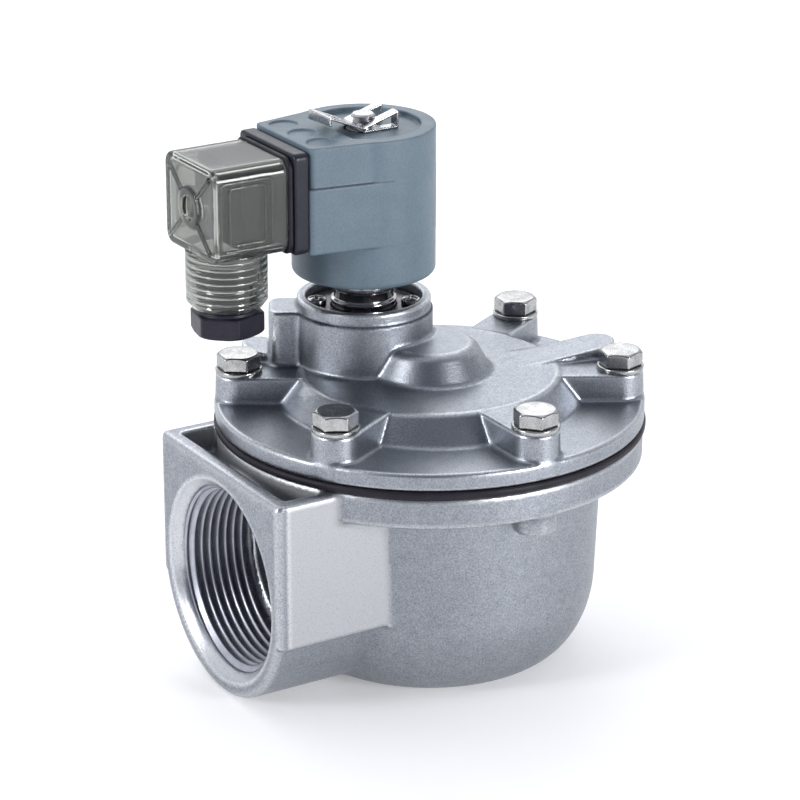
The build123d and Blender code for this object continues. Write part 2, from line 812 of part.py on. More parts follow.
def make_connector_housing():
    """See-through plug housing: shell, gland barrel, screw well, face ribs and side frames."""
    shell = face_plate(plug_half_width, plug_low, plug_high, plug_start, plug_end, plug_corner)
    face = shell.faces().sort_by(Axis.X)[0]
    shell = fillet(face.edges(), plug_face_draft)
    barrel_bottom = plug_low - gland_drop
    barrel = gland_cylinder(gland_radius, barrel_bottom, plug_middle)
    barrel = chamfer(barrel.edges().sort_by(Axis.Z)[0], gland_chamfer)
    shell += barrel
    half_height = (plug_high - plug_low) / 2
    diagonal = 2 * sqrt(plug_half_width ** 2 + half_height ** 2) - 2 * plug_corner
    rib = Box(2 * face_rib_rise, diagonal, face_rib_width)
    slant = Vector(plug_half_width, half_height).get_angle(Vector(1, 0))
    for angle in (slant, -slant):
        shell += Pos(-plug_end, 0, plug_middle) * Rot(angle, 0, 0) * rib
    shell += screw_channel(screw_boss_radius, plug_end - screw_well_depth, plug_end + screw_boss_rise)
    shell += side_frames()
    inside = face_plate(plug_half_width - plug_wall, plug_low + plug_wall, plug_high - plug_wall, plug_start,
                        plug_end - plug_wall, plug_corner - plug_wall)
    column = screw_channel(screw_boss_radius, insert_end, plug_end)
    shell -= inside - column
    shell -= gland_cylinder(gland_bore_radius, barrel_bottom, plug_low + plug_wall)
    shell -= screw_channel(screw_well_radius, screw_seat, plug_end + screw_boss_rise)
    return shell - screw_channel(screw_radius + screw_clearance, insert_end, screw_seat)


def make_connector_contacts():
    """Three sockets that grip the blades."""
    start = -(plug_start + contact_length)
    end = -(plug_start + contact_gap)
    half_w = blade_width / 2 + contact_margin
    boxes = [block(start, end, side - contact_half, side + contact_half, blade_level - half_w,
                   blade_level + half_w) for side in (-blade_spacing, blade_spacing)]
    boxes.append(block(start, end, -half_w, half_w, earth_level - contact_half, earth_level + contact_half))
    return [box - blade for box, blade in zip(boxes, blades())]


def make_connector_insert():
    """Terminal block inside the plug."""
    margin = plug_wall + insert_margin
    insert = face_plate(plug_half_width - margin, plug_low + margin, plug_high - margin, plug_start,
                        insert_end, plug_corner - plug_wall)
    for contact in make_connector_contacts():
        insert -= contact
    for blade in blades():
        insert -= blade
    return insert - screw_channel(screw_radius + screw_clearance, plug_start, insert_end)


def make_screw_seal():
    """Small sealing ring under the connector screw's head."""
    end = screw_seat + screw_seal_thickness
    return screw_channel(screw_head_radius, screw_seat, end) - screw_channel(screw_radius, screw_seat, end)


def make_connector_screw():
    """Long screw that holds the plug on the coil, with a cross recess."""
    head_start = screw_seat + screw_seal_thickness
    head_end = head_start + screw_head_height
    screw = screw_channel(screw_radius, head_reach - screw_grip, head_start)
    screw += screw_channel(screw_head_radius, head_start, head_end)
    cross = cross_recess(screw_cross_length, screw_cross_width, screw_cross_depth)
    return screw - Pos(-head_end, 0, plug_middle) * Rot(0, 90, 0) * cross


def make_gland_nut():
    """Hexagon gland nut with its spigot inside the barrel."""
    half_flats = nut_across_flats / 2
    hexagon = extrude(RegularPolygon(half_flats, 6, major_radius=False), nut_height)
    round_off = cone(half_flats - nut_bevel, half_flats + nut_height, 0, nut_height)
    nut = Pos(0, 0, nut_top - nut_height) * (hexagon & round_off)
    nut += disc(nut_spigot_radius, nut_top, spigot_top)
    nut -= disc(cable_hole_radius, nut_top - nut_height, spigot_top)
    return Pos(-plug_axis_reach, 0, 0) * nut


def make_gland_washer():
    """Thin washer between the nut and the seal."""
    washer = ring(nut_spigot_radius, cable_hole_radius, spigot_top, spigot_top + gland_washer_thickness)
    return Pos(-plug_axis_reach, 0, 0) * washer


def make_gland_seal():
    """Rubber ring that grips a cable."""
    low = spigot_top + gland_washer_thickness
    high = min(low + gland_seal_height, plug_low + plug_wall)
    return Pos(-plug_axis_reach, 0, 0) * ring(nut_spigot_radius, cable_hole_radius, low, high)


def on_coil(make):
    """Place a piece, or each piece of a group, on the coil's axis."""
    made = make()
    if isinstance(made, list):
        return [pilot_place * piece for piece in made]
    return pilot_place * made


nodes = {
    "body": make_body(),
    "cover": make_cover(),
    "main_diaphragm": make_main_diaphragm(),
    "upper_retainer": make_upper_retainer(),
    "lower_retainer": make_lower_retainer(),
    "diaphragm_rivet": make_diaphragm_rivet(),
    "main_spring": make_main_spring(),
    "cover_bolts": make_cover_bolts(),
    "cover_washers": make_cover_washers(),
    "armature_tube": make_armature_tube(),
    "tube_clamp_plate": make_tube_clamp_plate(),
    "pilot_screws": make_pilot_screws(),
    "tube_o_ring": make_tube_o_ring(),
    "fixed_core": make_fixed_core(),
    "plunger": make_plunger(),
    "plunger_seal": make_plunger_seal(),
    "plunger_spring": make_plunger_spring(),
    "coil_housing": on_coil(make_coil_housing),
    "coil_winding": on_coil(make_coil_winding),
    "coil_yoke": on_coil(make_coil_yoke),
    "coil_clip": on_coil(make_coil_clip),
    "coil_terminals": on_coil(blades),
    "terminal_frame": on_coil(make_terminal_frame),
    "connector_gasket": on_coil(make_connector_gasket),
    "connector_housing": on_coil(make_connector_housing),
    "connector_insert": on_coil(make_connector_insert),
    "connector_contacts": on_coil(make_connector_contacts),
    "connector_screw": on_coil(make_connector_screw),
    "screw_seal": on_coil(make_screw_seal),
    "gland_nut": on_coil(make_gland_nut),
    "gland_washer": on_coil(make_gland_washer),
    "gland_seal": on_coil(make_gland_seal),
}

for name, piece in nodes.items():
    if isinstance(piece, list):
        piece = Compound(children=[solid for made in piece for solid in made.solids()])
    export_step(piece, f"parts/{name}.step")
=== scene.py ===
# %% [markdown]
# # A diaphragm pulse valve, dressed for its portrait
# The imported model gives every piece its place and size. This script gives the pieces the forms that
# casting, moulding and turning leave behind, and the finishes that go with them. The frame comes in
# first, because everything else is measured from it.

# %% Load the frame
import math

import bpy
import numpy as np
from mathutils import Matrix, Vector


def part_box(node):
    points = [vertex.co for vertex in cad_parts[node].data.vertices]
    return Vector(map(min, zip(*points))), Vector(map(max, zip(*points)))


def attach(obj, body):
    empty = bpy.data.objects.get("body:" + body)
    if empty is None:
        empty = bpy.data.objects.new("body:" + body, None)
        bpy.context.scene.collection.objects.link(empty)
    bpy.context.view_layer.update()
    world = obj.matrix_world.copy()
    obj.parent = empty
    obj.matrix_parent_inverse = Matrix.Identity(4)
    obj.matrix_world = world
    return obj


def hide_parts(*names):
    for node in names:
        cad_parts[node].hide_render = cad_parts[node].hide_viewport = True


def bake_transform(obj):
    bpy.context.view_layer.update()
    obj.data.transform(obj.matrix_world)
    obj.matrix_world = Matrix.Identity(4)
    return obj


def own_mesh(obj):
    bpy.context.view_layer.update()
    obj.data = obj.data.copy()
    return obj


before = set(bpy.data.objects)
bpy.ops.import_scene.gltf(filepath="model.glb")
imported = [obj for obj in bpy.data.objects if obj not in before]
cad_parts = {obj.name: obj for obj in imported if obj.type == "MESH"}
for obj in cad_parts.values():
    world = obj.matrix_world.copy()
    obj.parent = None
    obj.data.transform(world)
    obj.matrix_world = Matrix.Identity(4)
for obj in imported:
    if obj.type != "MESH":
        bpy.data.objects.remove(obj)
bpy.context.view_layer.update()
MM = 0.001
print("frame nodes:", len(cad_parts))

# %% [markdown]
# ## Levels and places
# The valve stands on its outlet, and its main levels are read off the frame's pieces in millimetres:
# the joint face of the casting, the cover's foot, the pilot's axis and the coil's two ends. A size
# that the frame doesn't give, such as a cast radius, is named where its piece is made.


# %% Read the levels
def span(node):
    """Lowest and highest corner of a CAD node, in millimetres."""
    low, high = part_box(node)
    return np.array(low) / MM, np.array(high) / MM


body_low, body_high = span("body")
cover_low, cover_high = span("cover")
plate_low, plate_high = span("tube_clamp_plate")
coil_low, coil_high = span("coil_housing")
tube_low, tube_high = span("armature_tube")
band_low, band_high = span("main_diaphragm")
washer_low, washer_high = span("cover_washers")
bolts_low, bolts_high = span("cover_bolts")
frame_low, frame_high = span("terminal_frame")
seal_low, seal_high = span("connector_gasket")
plug_low, plug_high = span("connector_housing")
nut_low, nut_high = span("gland_nut")
pilot = (plate_low[:2] + plate_high[:2]) / 2
joint_level = body_high[2]
cover_level = cover_low[2]
post_top = cover_high[2]
flange_radius = body_high[1]
rim_radius = cover_high[0]
print("pilot axis at", np.round(pilot, 2), "joint face at", round(float(joint_level), 2))

# %% [markdown]
# ## Forms as distance fields
# A casting is soft where its forms meet: metal cannot run into a sharp corner. A distance field makes
# that easy. Each form is a function that gives the distance of a point to its surface, negative
# inside, and two forms join with a fillet by one formula. The other way would be to bevel a boolean
# mesh edge by edge, which tends to break where three forms meet.


# %% Joining fields
def joined(a, b, radius):
    """Union with a fillet: max(r, min(a, b)) less the length of (max(r - a, 0), max(r - b, 0))."""
    corner = np.hypot(np.maximum(radius - a, 0), np.maximum(radius - b, 0))
    return np.maximum(radius, np.minimum(a, b)) - corner


def common(a, b, radius):
    """Intersection with a rounded edge: the same formula with both signs turned."""
    return -joined(-a, -b, radius)


def cut(a, b, radius):
    """The first form less the second, its edge rounded."""
    return common(a, -b, radius)


def slab(level, low, high):
    """Distance to the space between two planes: |t - middle| less half the thickness."""
    return np.abs(level - (low + high) / 2) - (high - low) / 2


def drum(reach, level, radius, low, high, edge):
    """Upright cylinder with rounded rims, from the distance to its axis and the height."""
    return common(reach - radius, slab(level, low, high), edge)


def slope(reach, level, start, end):
    """Distance to a cone's wall through two (radius, level) points, positive outside."""
    run = end[0] - start[0]
    rise = end[1] - start[1]
    return ((reach - start[0]) * rise - (level - start[1]) * run) / math.hypot(run, rise)


def along_across(x, y, turn):
    """Coordinates along and across a direction in plan: x cos a + y sin a and y cos a - x sin a."""
    c, s = math.cos(turn), math.sin(turn)
    return c * x + s * y, c * y - s * x


def slot(along, across, end, half_width):
    """Bar with a round end: the distance to its axis line, which stops at the end's centre."""
    past = np.maximum(along - end, 0)
    return np.hypot(past, across) - half_width


# %% [markdown]
# ## From field to mesh
# The field is sampled on a grid. Each grid cell that the surface passes through gets one vertex, at
# the mean of the points where its edges cross zero, and each crossed edge gets one face between the
# four cells around it. Then every vertex steps along the field's gradient until it lies on zero, which
# gives smooth walls from a coarse grid. All of it works on whole arrays.


# %% The skin of a field
def gradient(field, points, size=0.02):
    """Central differences: (f(p + h) - f(p - h)) / 2h along each axis."""
    slopes = []
    for axis in range(3):
        step = np.zeros(3)
        step[axis] = size
        ahead = field(*(points + step).T)
        behind = field(*(points - step).T)
        slopes.append((ahead - behind) / (2 * size))
    return np.stack(slopes, axis=1)


def skin(field, low, high, step):
    """Closed surface where a field is zero, as vertices and quads that face outwards."""
    axes = [np.arange(a - 1.5 * step, b + 2.5 * step, step) for a, b in zip(low, high)]
    grid = np.meshgrid(*axes, indexing="ij")
    value = field(*grid)
    inside = value < 0
    cells = tuple(n - 1 for n in value.shape)
    total = np.zeros(cells + (3,), np.float32)
    count = np.zeros(cells, np.uint8)
    faces = []
    for axis in range(3):
        first = tuple(slice(0, -1) if k == axis else slice(None) for k in range(3))
        second = tuple(slice(1, None) if k == axis else slice(None) for k in range(3))
        crossed = np.argwhere(inside[first] != inside[second])
        u, v = (axis + 1) % 3, (axis + 2) % 3
        room = (crossed[:, u] > 0) & (crossed[:, v] > 0)
        room &= (crossed[:, u] < cells[u]) & (crossed[:, v] < cells[v])
        crossed = crossed[room]
        near = value[first][tuple(crossed.T)]
        far = value[second][tuple(crossed.T)]
        point = np.stack([axes[k][crossed[:, k]] for k in range(3)], axis=1)
        point[:, axis] += step * near / (near - far)
        ring = []
        for du, dv in ((-1, -1), (0, -1), (0, 0), (-1, 0)):
            cell = crossed.copy()
            cell[:, u] += du
            cell[:, v] += dv
            np.add.at(total, tuple(cell.T), point.astype(np.float32))
            np.add.at(count, tuple(cell.T), 1)
            ring.append(np.ravel_multi_index(tuple(cell.T), cells))
        quad = np.stack(ring, axis=1)
        quad[near > far] = quad[near > far][:, ::-1]
        faces.append(quad)
    used = np.flatnonzero(count.ravel())
    number = np.full(count.size, -1)
    number[used] = np.arange(len(used))
    points = total.reshape(-1, 3)[used].astype(float) / count.ravel()[used][:, None]
    for _ in range(3):
        pull = gradient(field, points)
        reach = field(*points.T) / np.maximum((pull ** 2).sum(axis=1), 0.2)
        move = pull * reach[:, None]
        length = np.linalg.norm(move, axis=1, keepdims=True)
        points -= move * np.minimum(1, 0.5 * step / np.maximum(length, 1e-9))
    return points, number[np.concatenate(faces)]


def sharpness(field, points, size=0.35):
    """How sharply a surface turns out, from 0 to 1: the six neighbours' values less six times its own."""
    total = -6 * field(*points.T)
    for axis in range(3):
        step = np.zeros(3)
        step[axis] = size
        total += field(*(points + step).T) + field(*(points - step).T)
    return np.clip(total / size, 0, 1)


# %% Mesh objects
def piece(name, points, faces, body, slot_name, material, replaced=(), **marks):
    """New object from points in millimetres, smooth shaded, riding on a body if one is named.

    Each further keyword is a mark: a value for each vertex that a finish can read by its name.
    """
    mesh = bpy.data.meshes.new(name)
    mesh.from_pydata((np.asarray(points) * MM).tolist(), [], np.asarray(faces).tolist())
    mesh.shade_smooth()
    for label, values in marks.items():
        mesh.attributes.new(label, "FLOAT", "POINT").data.foreach_set("value", values.astype(np.float32))
    made = bpy.data.objects.new(name, mesh)
    bpy.context.scene.collection.objects.link(made)
    mesh.materials.append(material)
    if body:
        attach(made, body)
    if replaced:
        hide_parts(*replaced)
    print(f"{name}: {len(mesh.vertices)} vertices, {len(mesh.polygons)} faces")
    return made


# %% [markdown]
# ## Camera, floor and light
# The camera stands where the portrait was taken from: a little to the left of the front, about 21
# degrees above the horizon, and far enough away that the sides stay nearly parallel. The floor is a
# pale sheet, and the light comes from large soft panels, because metal shows the room more than its
# own colour.

# %% Camera
view_turn = math.radians(-31.5)
view_rise = math.radians(20.687)
view_distance = 836.18
view_target = np.array([-6.48, 3.97, 66.67])
focal_length = 147.2
sensor_width = 36.0
backward = np.array([
    math.sin(view_turn) * math.cos(view_rise),
    -math.cos(view_turn) * math.cos(view_rise),
    math.sin(view_rise),
])
camera_data = bpy.data.cameras.new("portrait_camera")
camera_data.lens = focal_length
camera_data.sensor_width = sensor_width
camera = bpy.data.objects.new("portrait_camera", camera_data)
camera.location = (view_target + backward * view_distance) * MM
camera.rotation_mode = "QUATERNION"
camera.rotation_quaternion = Vector(-backward).to_track_quat("-Z", "Y")
bpy.context.scene.collection.objects.link(camera)
bpy.context.scene.camera = camera
bpy.context.scene.view_settings.view_transform = "Standard"
print("camera at", np.round(view_target + backward * view_distance, 1), "mm")


# %% Lamps
def panel(name, towards, distance, width, power):
    """Square soft lamp that looks at the valve from a direction."""
    lamp = bpy.data.lights.new(name, "AREA")
    lamp.shape = "SQUARE"
    lamp.size = width
    lamp.energy = power
    made = bpy.data.objects.new(name, lamp)
    direction = Vector(towards).normalized()
    made.location = Vector(view_target * MM) + direction * distance
    made.rotation_mode = "QUATERNION"
    made.rotation_quaternion = (-direction).to_track_quat("-Z", "Y")
    bpy.context.scene.collection.objects.link(made)


# Each lamp: the way to it, then metres away, metres wide and watts
panel("key_lamp", (0.31, -0.95, 0.20), 1.3, 0.42, 11.5)
panel("left_lamp", (-1.0, 0.05, 0.34), 1.3, 0.34, 7.5)
panel("back_lamp", (0.36, 0.85, 0.85), 1.4, 1.2, 7.0)

# %% World
bright_room = (0.87, 0.895, 0.94, 1)
dark_room = (0.10, 0.112, 0.16, 1)
room_blend = 0.35
dark_turn = view_turn + math.radians(18)
dark_tip = -0.35
world = bpy.data.worlds.new("studio")
world.use_nodes = True
bpy.context.scene.world = world
sky = world.node_tree
towards = sky.nodes.new("ShaderNodeTexCoord").outputs["Generated"]
facing = sky.nodes.new("ShaderNodeVectorMath")
facing.operation = "DOT_PRODUCT"
facing.inputs[1].default_value = (math.sin(dark_turn), -math.cos(dark_turn), dark_tip)
sky.links.new(towards, facing.inputs[0])
ramp = sky.nodes.new("ShaderNodeMapRange")
for label, value in (("From Min", -room_blend), ("From Max", room_blend), ("To Min", 0), ("To Max", 1)):
    ramp.inputs[label].default_value = value
room = sky.nodes.new("ShaderNodeMix")
room.data_type = "RGBA"
room.inputs["A"].default_value = bright_room
room.inputs["B"].default_value = dark_room
sky.links.new(facing.outputs["Value"], ramp.inputs["Value"])
sky.links.new(ramp.outputs["Result"], room.inputs["Factor"])
sky.links.new(room.outputs["Result"], sky.nodes["Background"].inputs["Color"])
print("room: bright behind the valve, dark behind the camera")

# %% Floor
floor_half = 6.0
floor_mesh = bpy.data.meshes.new("floor")
floor_mesh.from_pydata([(-floor_half, -floor_half, 0), (floor_half, -floor_half, 0),
                        (floor_half, floor_half, 0), (-floor_half, floor_half, 0)], [], [(0, 1, 2, 3)])
floor = bpy.data.objects.new("floor", floor_mesh)
bpy.context.scene.collection.objects.link(floor)

# %% [markdown]
# ## Finishes
# Each finish is one Principled shader whose colour, roughness and bump vary over the surface. What
# several finishes share is a node group: the grain of a casting or a moulding is noise at two sizes,
# read from Object coordinates so that it sits still on the piece. A second group turns marks of the
# mesh into blasted or machined places, seams, and a painted highlight along the sharp edges.


# %% Node helpers
def node(tree, kind, **sockets):
    """New node; keywords set its inputs by name, with underscores for spaces."""
    made = tree.nodes.new(kind)
    for name, value in sockets.items():
        made.inputs[name.replace("_", " ")].default_value = value
    return made


def group_node(tree, group, **values):
    """Node that uses a group; keywords set its inputs by name, with underscores for spaces."""
    made = tree.nodes.new("ShaderNodeGroup")
    made.node_tree = group
    for name, value in values.items():
        made.inputs[name.replace("_", " ")].default_value = value
    return made


def math_node(tree, operation, first, second):
    """Math node on two values, each a socket or a number."""
    made = tree.nodes.new("ShaderNodeMath")
    made.operation = operation
    for socket, value in zip(made.inputs, (first, second)):
        if isinstance(value, (int, float)):
            socket.default_value = value
        else:
            tree.links.new(value, socket)
    return made.outputs[0]


def noise(tree, vector, scale, detail, roughness=0.6):
    """Noise texture on a vector; its scale is in waves to a metre or a socket."""
    made = node(tree, "ShaderNodeTexNoise", Detail=detail, Roughness=roughness)
    tree.links.new(vector, made.inputs["Vector"])
    if isinstance(scale, (int, float)):
        made.inputs["Scale"].default_value = scale
    else:
        tree.links.new(scale, made.inputs["Scale"])
    return made.outputs["Fac"]


def stretched(tree, value, low, high, to_low=0.0, to_high=1.0):
    """Value mapped from one range to another, held at the ends."""
    made = node(tree, "ShaderNodeMapRange", From_Min=low, From_Max=high, To_Min=to_low, To_Max=to_high)
    tree.links.new(value, made.inputs["Value"])
    return made.outputs["Result"]


def new_group(name, inputs, outputs):
    """Shader node group with named float or vector inputs and float outputs."""
    group = bpy.data.node_groups.new(name, "ShaderNodeTree")
    for label, value in inputs.items():
        kind = "NodeSocketVector" if value is None else "NodeSocketFloat"
        socket = group.interface.new_socket(label, in_out="INPUT", socket_type=kind)
        if value is not None:
            socket.default_value = value
    for label in outputs:
        group.interface.new_socket(label, in_out="OUTPUT", socket_type="NodeSocketFloat")
    return group, group.nodes.new("NodeGroupInput"), group.nodes.new("NodeGroupOutput")


# %% The grain group
def make_grain_group():
    """Grain and mottling: two noises at sizes given in millimetres, each stretched to 0..1."""
    group, given, result = new_group(
        "grain", {"Vector": None, "Grain Size": 0.5, "Mottle Size": 6.0}, ["Grain", "Mottle"])
    for label, size, detail, low, high in (("Grain", "Grain Size", 3.0, 0.34, 0.66),
                                           ("Mottle", "Mottle Size", 4.0, 0.36, 0.64)):
        scale = math_node(group, "DIVIDE", 1.0 / MM, given.outputs[size])
        value = noise(group, given.outputs["Vector"], scale, detail)
        group.links.new(stretched(group, value, low, high), result.inputs[label])
    return group


grain_group = make_grain_group()


def make_finish_and_highlight_group():
    """Mask for a mark from the mesh, made patchy by the grain and held between 0 and 1: blasted and machined
    finishes, seams, and the painted edge highlight.
    """
    group, given, result = new_group("finish_and_highlight", {"Mark": 0.0, "Grain": 0.5, "Reach": 1.0}, ["Mask"])
    patchy = math_node(group, "ADD", math_node(group, "MULTIPLY", given.outputs["Grain"], 0.8), 0.6)
    strong = math_node(group, "MULTIPLY", given.outputs["Mark"], given.outputs["Reach"])
    mask = stretched(group, math_node(group, "MULTIPLY", strong, patchy), 0, 1)
    group.links.new(mask, result.inputs["Mask"])
    return group


finish_and_highlight_group = make_finish_and_highlight_group()


# %% Finish builder
def finish(name, dark, light, rough, grain=0.5, mottle=6.0, bump=0.2, depth=0.05, share=0.5, **shader):
    """Principled material whose colour and roughness run between two values over grain and mottling.

    share is how much of the variation the fine grain takes; depth is the bump's height in millimetres.
    """
    material = bpy.data.materials.new(name)
    material.use_nodes = True
    tree = material.node_tree
    principled = tree.nodes["Principled BSDF"]
    for label, value in shader.items():
        principled.inputs[label.replace("_", " ")].default_value = value
    place = tree.nodes.new("ShaderNodeTexCoord").outputs["Object"]
    spots = group_node(tree, grain_group, Grain_Size=grain, Mottle_Size=mottle)
    tree.links.new(place, spots.inputs["Vector"])
    fine = math_node(tree, "MULTIPLY", spots.outputs["Grain"], share)
    broad = math_node(tree, "MULTIPLY", spots.outputs["Mottle"], 1 - share)
    variation = math_node(tree, "ADD", fine, broad)
    colours = tree.nodes.new("ShaderNodeMix")
    colours.data_type = "RGBA"
    colours.inputs["A"].default_value = (*dark, 1)
    colours.inputs["B"].default_value = (*light, 1)
    tree.links.new(variation, colours.inputs["Factor"])
    tree.links.new(colours.outputs["Result"], principled.inputs["Base Color"])
    tree.links.new(stretched(tree, variation, 0, 1, rough[1], rough[0]), principled.inputs["Roughness"])
    relief = node(tree, "ShaderNodeBump", Strength=bump, Distance=depth * MM)
    tree.links.new(spots.outputs["Grain"], relief.inputs["Height"])
    tree.links.new(relief.outputs["Normal"], principled.inputs["Normal"])
    return material


def overlay(material, mark, colour, rough, reach=1.0):
    """Second colour and roughness where a mark on the mesh is high, over those that the material has."""
    tree = material.node_tree
    finish_and_highlight = group_node(tree, finish_and_highlight_group, Reach=reach)
    marked = tree.nodes.new("ShaderNodeAttribute")
    marked.attribute_name = mark
    spots = next(each for each in tree.nodes if each.type == "GROUP" and each.node_tree == grain_group)
    tree.links.new(marked.outputs["Fac"], finish_and_highlight.inputs["Mark"])
    tree.links.new(spots.outputs["Grain"], finish_and_highlight.inputs["Grain"])
    for label, kind, value in (("Base Color", "RGBA", (*colour, 1)), ("Roughness", "FLOAT", rough)):
        socket = tree.nodes["Principled BSDF"].inputs[label]
        mix = tree.nodes.new("ShaderNodeMix")
        mix.data_type = kind
        mix.inputs["B"].default_value = value
        tree.links.new(finish_and_highlight.outputs["Mask"], mix.inputs["Factor"])
        tree.links.new(socket.links[0].from_socket, mix.inputs["A"])
        tree.links.new(mix.outputs["Result"], socket)


# %% The finishes of this valve
# Each finish: its name, the dark and the light colour, and the two ends of its roughness
cast_metal = finish("cast_metal", (0.205, 0.221, 0.254), (0.375, 0.393, 0.424), (0.36, 0.50),
                    grain=0.42, mottle=3.0, bump=0.42, depth=0.05, share=0.82, Metallic=1.0)
overlay(cast_metal, "blasted", (0.43, 0.44, 0.455), 0.58)
# Painted highlight: a near-white, glossier colour laid along the sharp edges, where they catch the light
overlay(cast_metal, "edge", (0.80, 0.81, 0.83), 0.26, 0.9)
overlay(cast_metal, "machined", (0.60, 0.61, 0.64), 0.30)
cover_metal = finish("cover_metal", (0.205, 0.221, 0.256), (0.385, 0.404, 0.438), (0.29, 0.43),
                     grain=0.42, mottle=3.0, bump=0.42, depth=0.05, share=0.82, Metallic=1.0)
overlay(cover_metal, "seam", (0.06, 0.065, 0.08), 0.6)
# Painted highlight along the cover's sharp edges, as on the body
overlay(cover_metal, "edge", (0.80, 0.81, 0.83), 0.26, 0.9)
thread_metal = finish("thread_metal", (0.34, 0.355, 0.405), (0.52, 0.53, 0.58), (0.36, 0.50),
                      grain=0.3, mottle=5.0, bump=0.1, depth=0.02, Metallic=1.0)
black_rubber = finish("black_rubber", (0.005, 0.004, 0.008), (0.016, 0.013, 0.022), (0.42, 0.58),
                      grain=0.4, mottle=5.0, bump=0.3, depth=0.04, Specular_IOR_Level=0.28)
plate_steel = finish("plate_steel", (0.42, 0.42, 0.43), (0.58, 0.58, 0.59), (0.28, 0.4), Metallic=1.0)
spring_steel = finish("spring_steel", (0.45, 0.45, 0.46), (0.62, 0.62, 0.62), (0.2, 0.32), Metallic=1.0)
zinc = finish("bright_zinc", (0.26, 0.26, 0.262), (0.54, 0.54, 0.53), (0.14, 0.30),
              grain=0.35, mottle=3.0, bump=0.12, depth=0.03, Metallic=1.0)
polished = finish("polished_steel", (0.50, 0.49, 0.50), (0.66, 0.65, 0.66), (0.10, 0.18),
                  grain=0.4, mottle=6.0, bump=0.05, depth=0.02, Metallic=1.0)
dark_steel = finish("dark_plate", (0.05, 0.045, 0.055), (0.13, 0.12, 0.14), (0.2, 0.34),
                    grain=0.4, mottle=4.0, bump=0.1, depth=0.02, Metallic=1.0)
coil_resin = finish("coil_resin", (0.100, 0.148, 0.186), (0.138, 0.190, 0.232), (0.38, 0.50),
                    grain=0.5, mottle=9.0, bump=0.25, depth=0.04, share=0.6)
overlay(coil_resin, "seam", (0.05, 0.065, 0.09), 0.6)
copper = finish("copper_winding", (0.45, 0.16, 0.07), (0.70, 0.30, 0.15), (0.25, 0.4), Metallic=1.0)
yoke_steel = finish("yoke_steel", (0.40, 0.41, 0.42), (0.55, 0.56, 0.57), (0.35, 0.5), Metallic=1.0)
bright_clip = finish("bright_clip", (0.38, 0.38, 0.39), (0.62, 0.62, 0.63), (0.18, 0.34),
                     grain=0.5, mottle=3.0, bump=0.06, depth=0.02, Metallic=1.0)
tinned_brass = finish("tinned_brass", (0.62, 0.55, 0.38), (0.75, 0.68, 0.5), (0.2, 0.35), Metallic=1.0)
frame_plastic = finish("frame_plastic", (0.010, 0.011, 0.020), (0.022, 0.024, 0.036), (0.26, 0.38),
                       grain=0.5, mottle=8.0, bump=0.2, depth=0.03, Specular_IOR_Level=0.28)
black_plastic = finish("black_plastic", (0.010, 0.009, 0.017), (0.022, 0.020, 0.032), (0.28, 0.42),
                       grain=0.4, mottle=6.0, bump=0.15, depth=0.03, Specular_IOR_Level=0.28)
smoke = finish("clear_smoke", (0.375, 0.385, 0.36), (0.465, 0.475, 0.445), (0.02, 0.06),
               grain=0.8, mottle=9.0, bump=0.03, depth=0.01, Transmission_Weight=0.94, IOR=1.49)
pale_floor = finish("pale_floor", (0.86, 0.86, 0.865), (0.88, 0.88, 0.885), (0.75, 0.85),
                    grain=3.0, mottle=60.0, bump=0.02, depth=0.1)
floor_glow = 0.25
floor_tree = pale_floor.node_tree
paths = floor_tree.nodes.new("ShaderNodeLightPath")
seen = math_node(floor_tree, "ADD", paths.outputs["Is Camera Ray"], paths.outputs["Is Glossy Ray"])
seen = math_node(floor_tree, "ADD", seen, paths.outputs["Is Transmission Ray"])
floor_shader = floor_tree.nodes["Principled BSDF"]
floor_shader.inputs["Emission Color"].default_value = (1, 1, 1, 1)
glow = math_node(floor_tree, "MULTIPLY", seen, floor_glow)
floor_tree.links.new(glow, floor_shader.inputs["Emission Strength"])
floor.data.materials.append(pale_floor)

# %% Finishes of the pieces that the frame already shapes
carried_over = {
    plate_steel: ("upper_retainer", "lower_retainer", "diaphragm_rivet", "gland_washer"),
    spring_steel: ("main_spring", "plunger_spring"),
    zinc: ("connector_screw", "cover_bolts", "cover_washers"),
    black_rubber: ("tube_o_ring", "plunger_seal", "screw_seal", "gland_seal", "connector_gasket",
                   "main_diaphragm"),
    yoke_steel: ("coil_yoke", "plunger"),
    copper: ("coil_winding",),
    tinned_brass: ("coil_terminals", "connector_contacts"),
    frame_plastic: ("connector_insert", "terminal_frame"),
    polished: ("armature_tube",),
    dark_steel: ("tube_clamp_plate", "pilot_screws"),
    bright_clip: ("coil_clip", "fixed_core"),
    black_plastic: ("gland_nut",),
    coil_resin: ("coil_housing",),
    smoke: ("connector_housing",),
    cast_metal: ("body",),
    cover_metal: ("cover",),
}
for material, names in carried_over.items():
    for name in names:
        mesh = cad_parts[name].data
        mesh.materials.clear()
        mesh.materials.append(material)
print("finishes:", len(bpy.data.materials))

# %% [markdown]
# ## The cover casting
# The real cover is die cast: a round rim, a low cone up to a plateau, six bolt lobes that run inwards as
# bars, a hump for the spring and the pilot's post. Six lobes are one lobe seen six times, so the point is
# folded round the axis before its distance is measured.

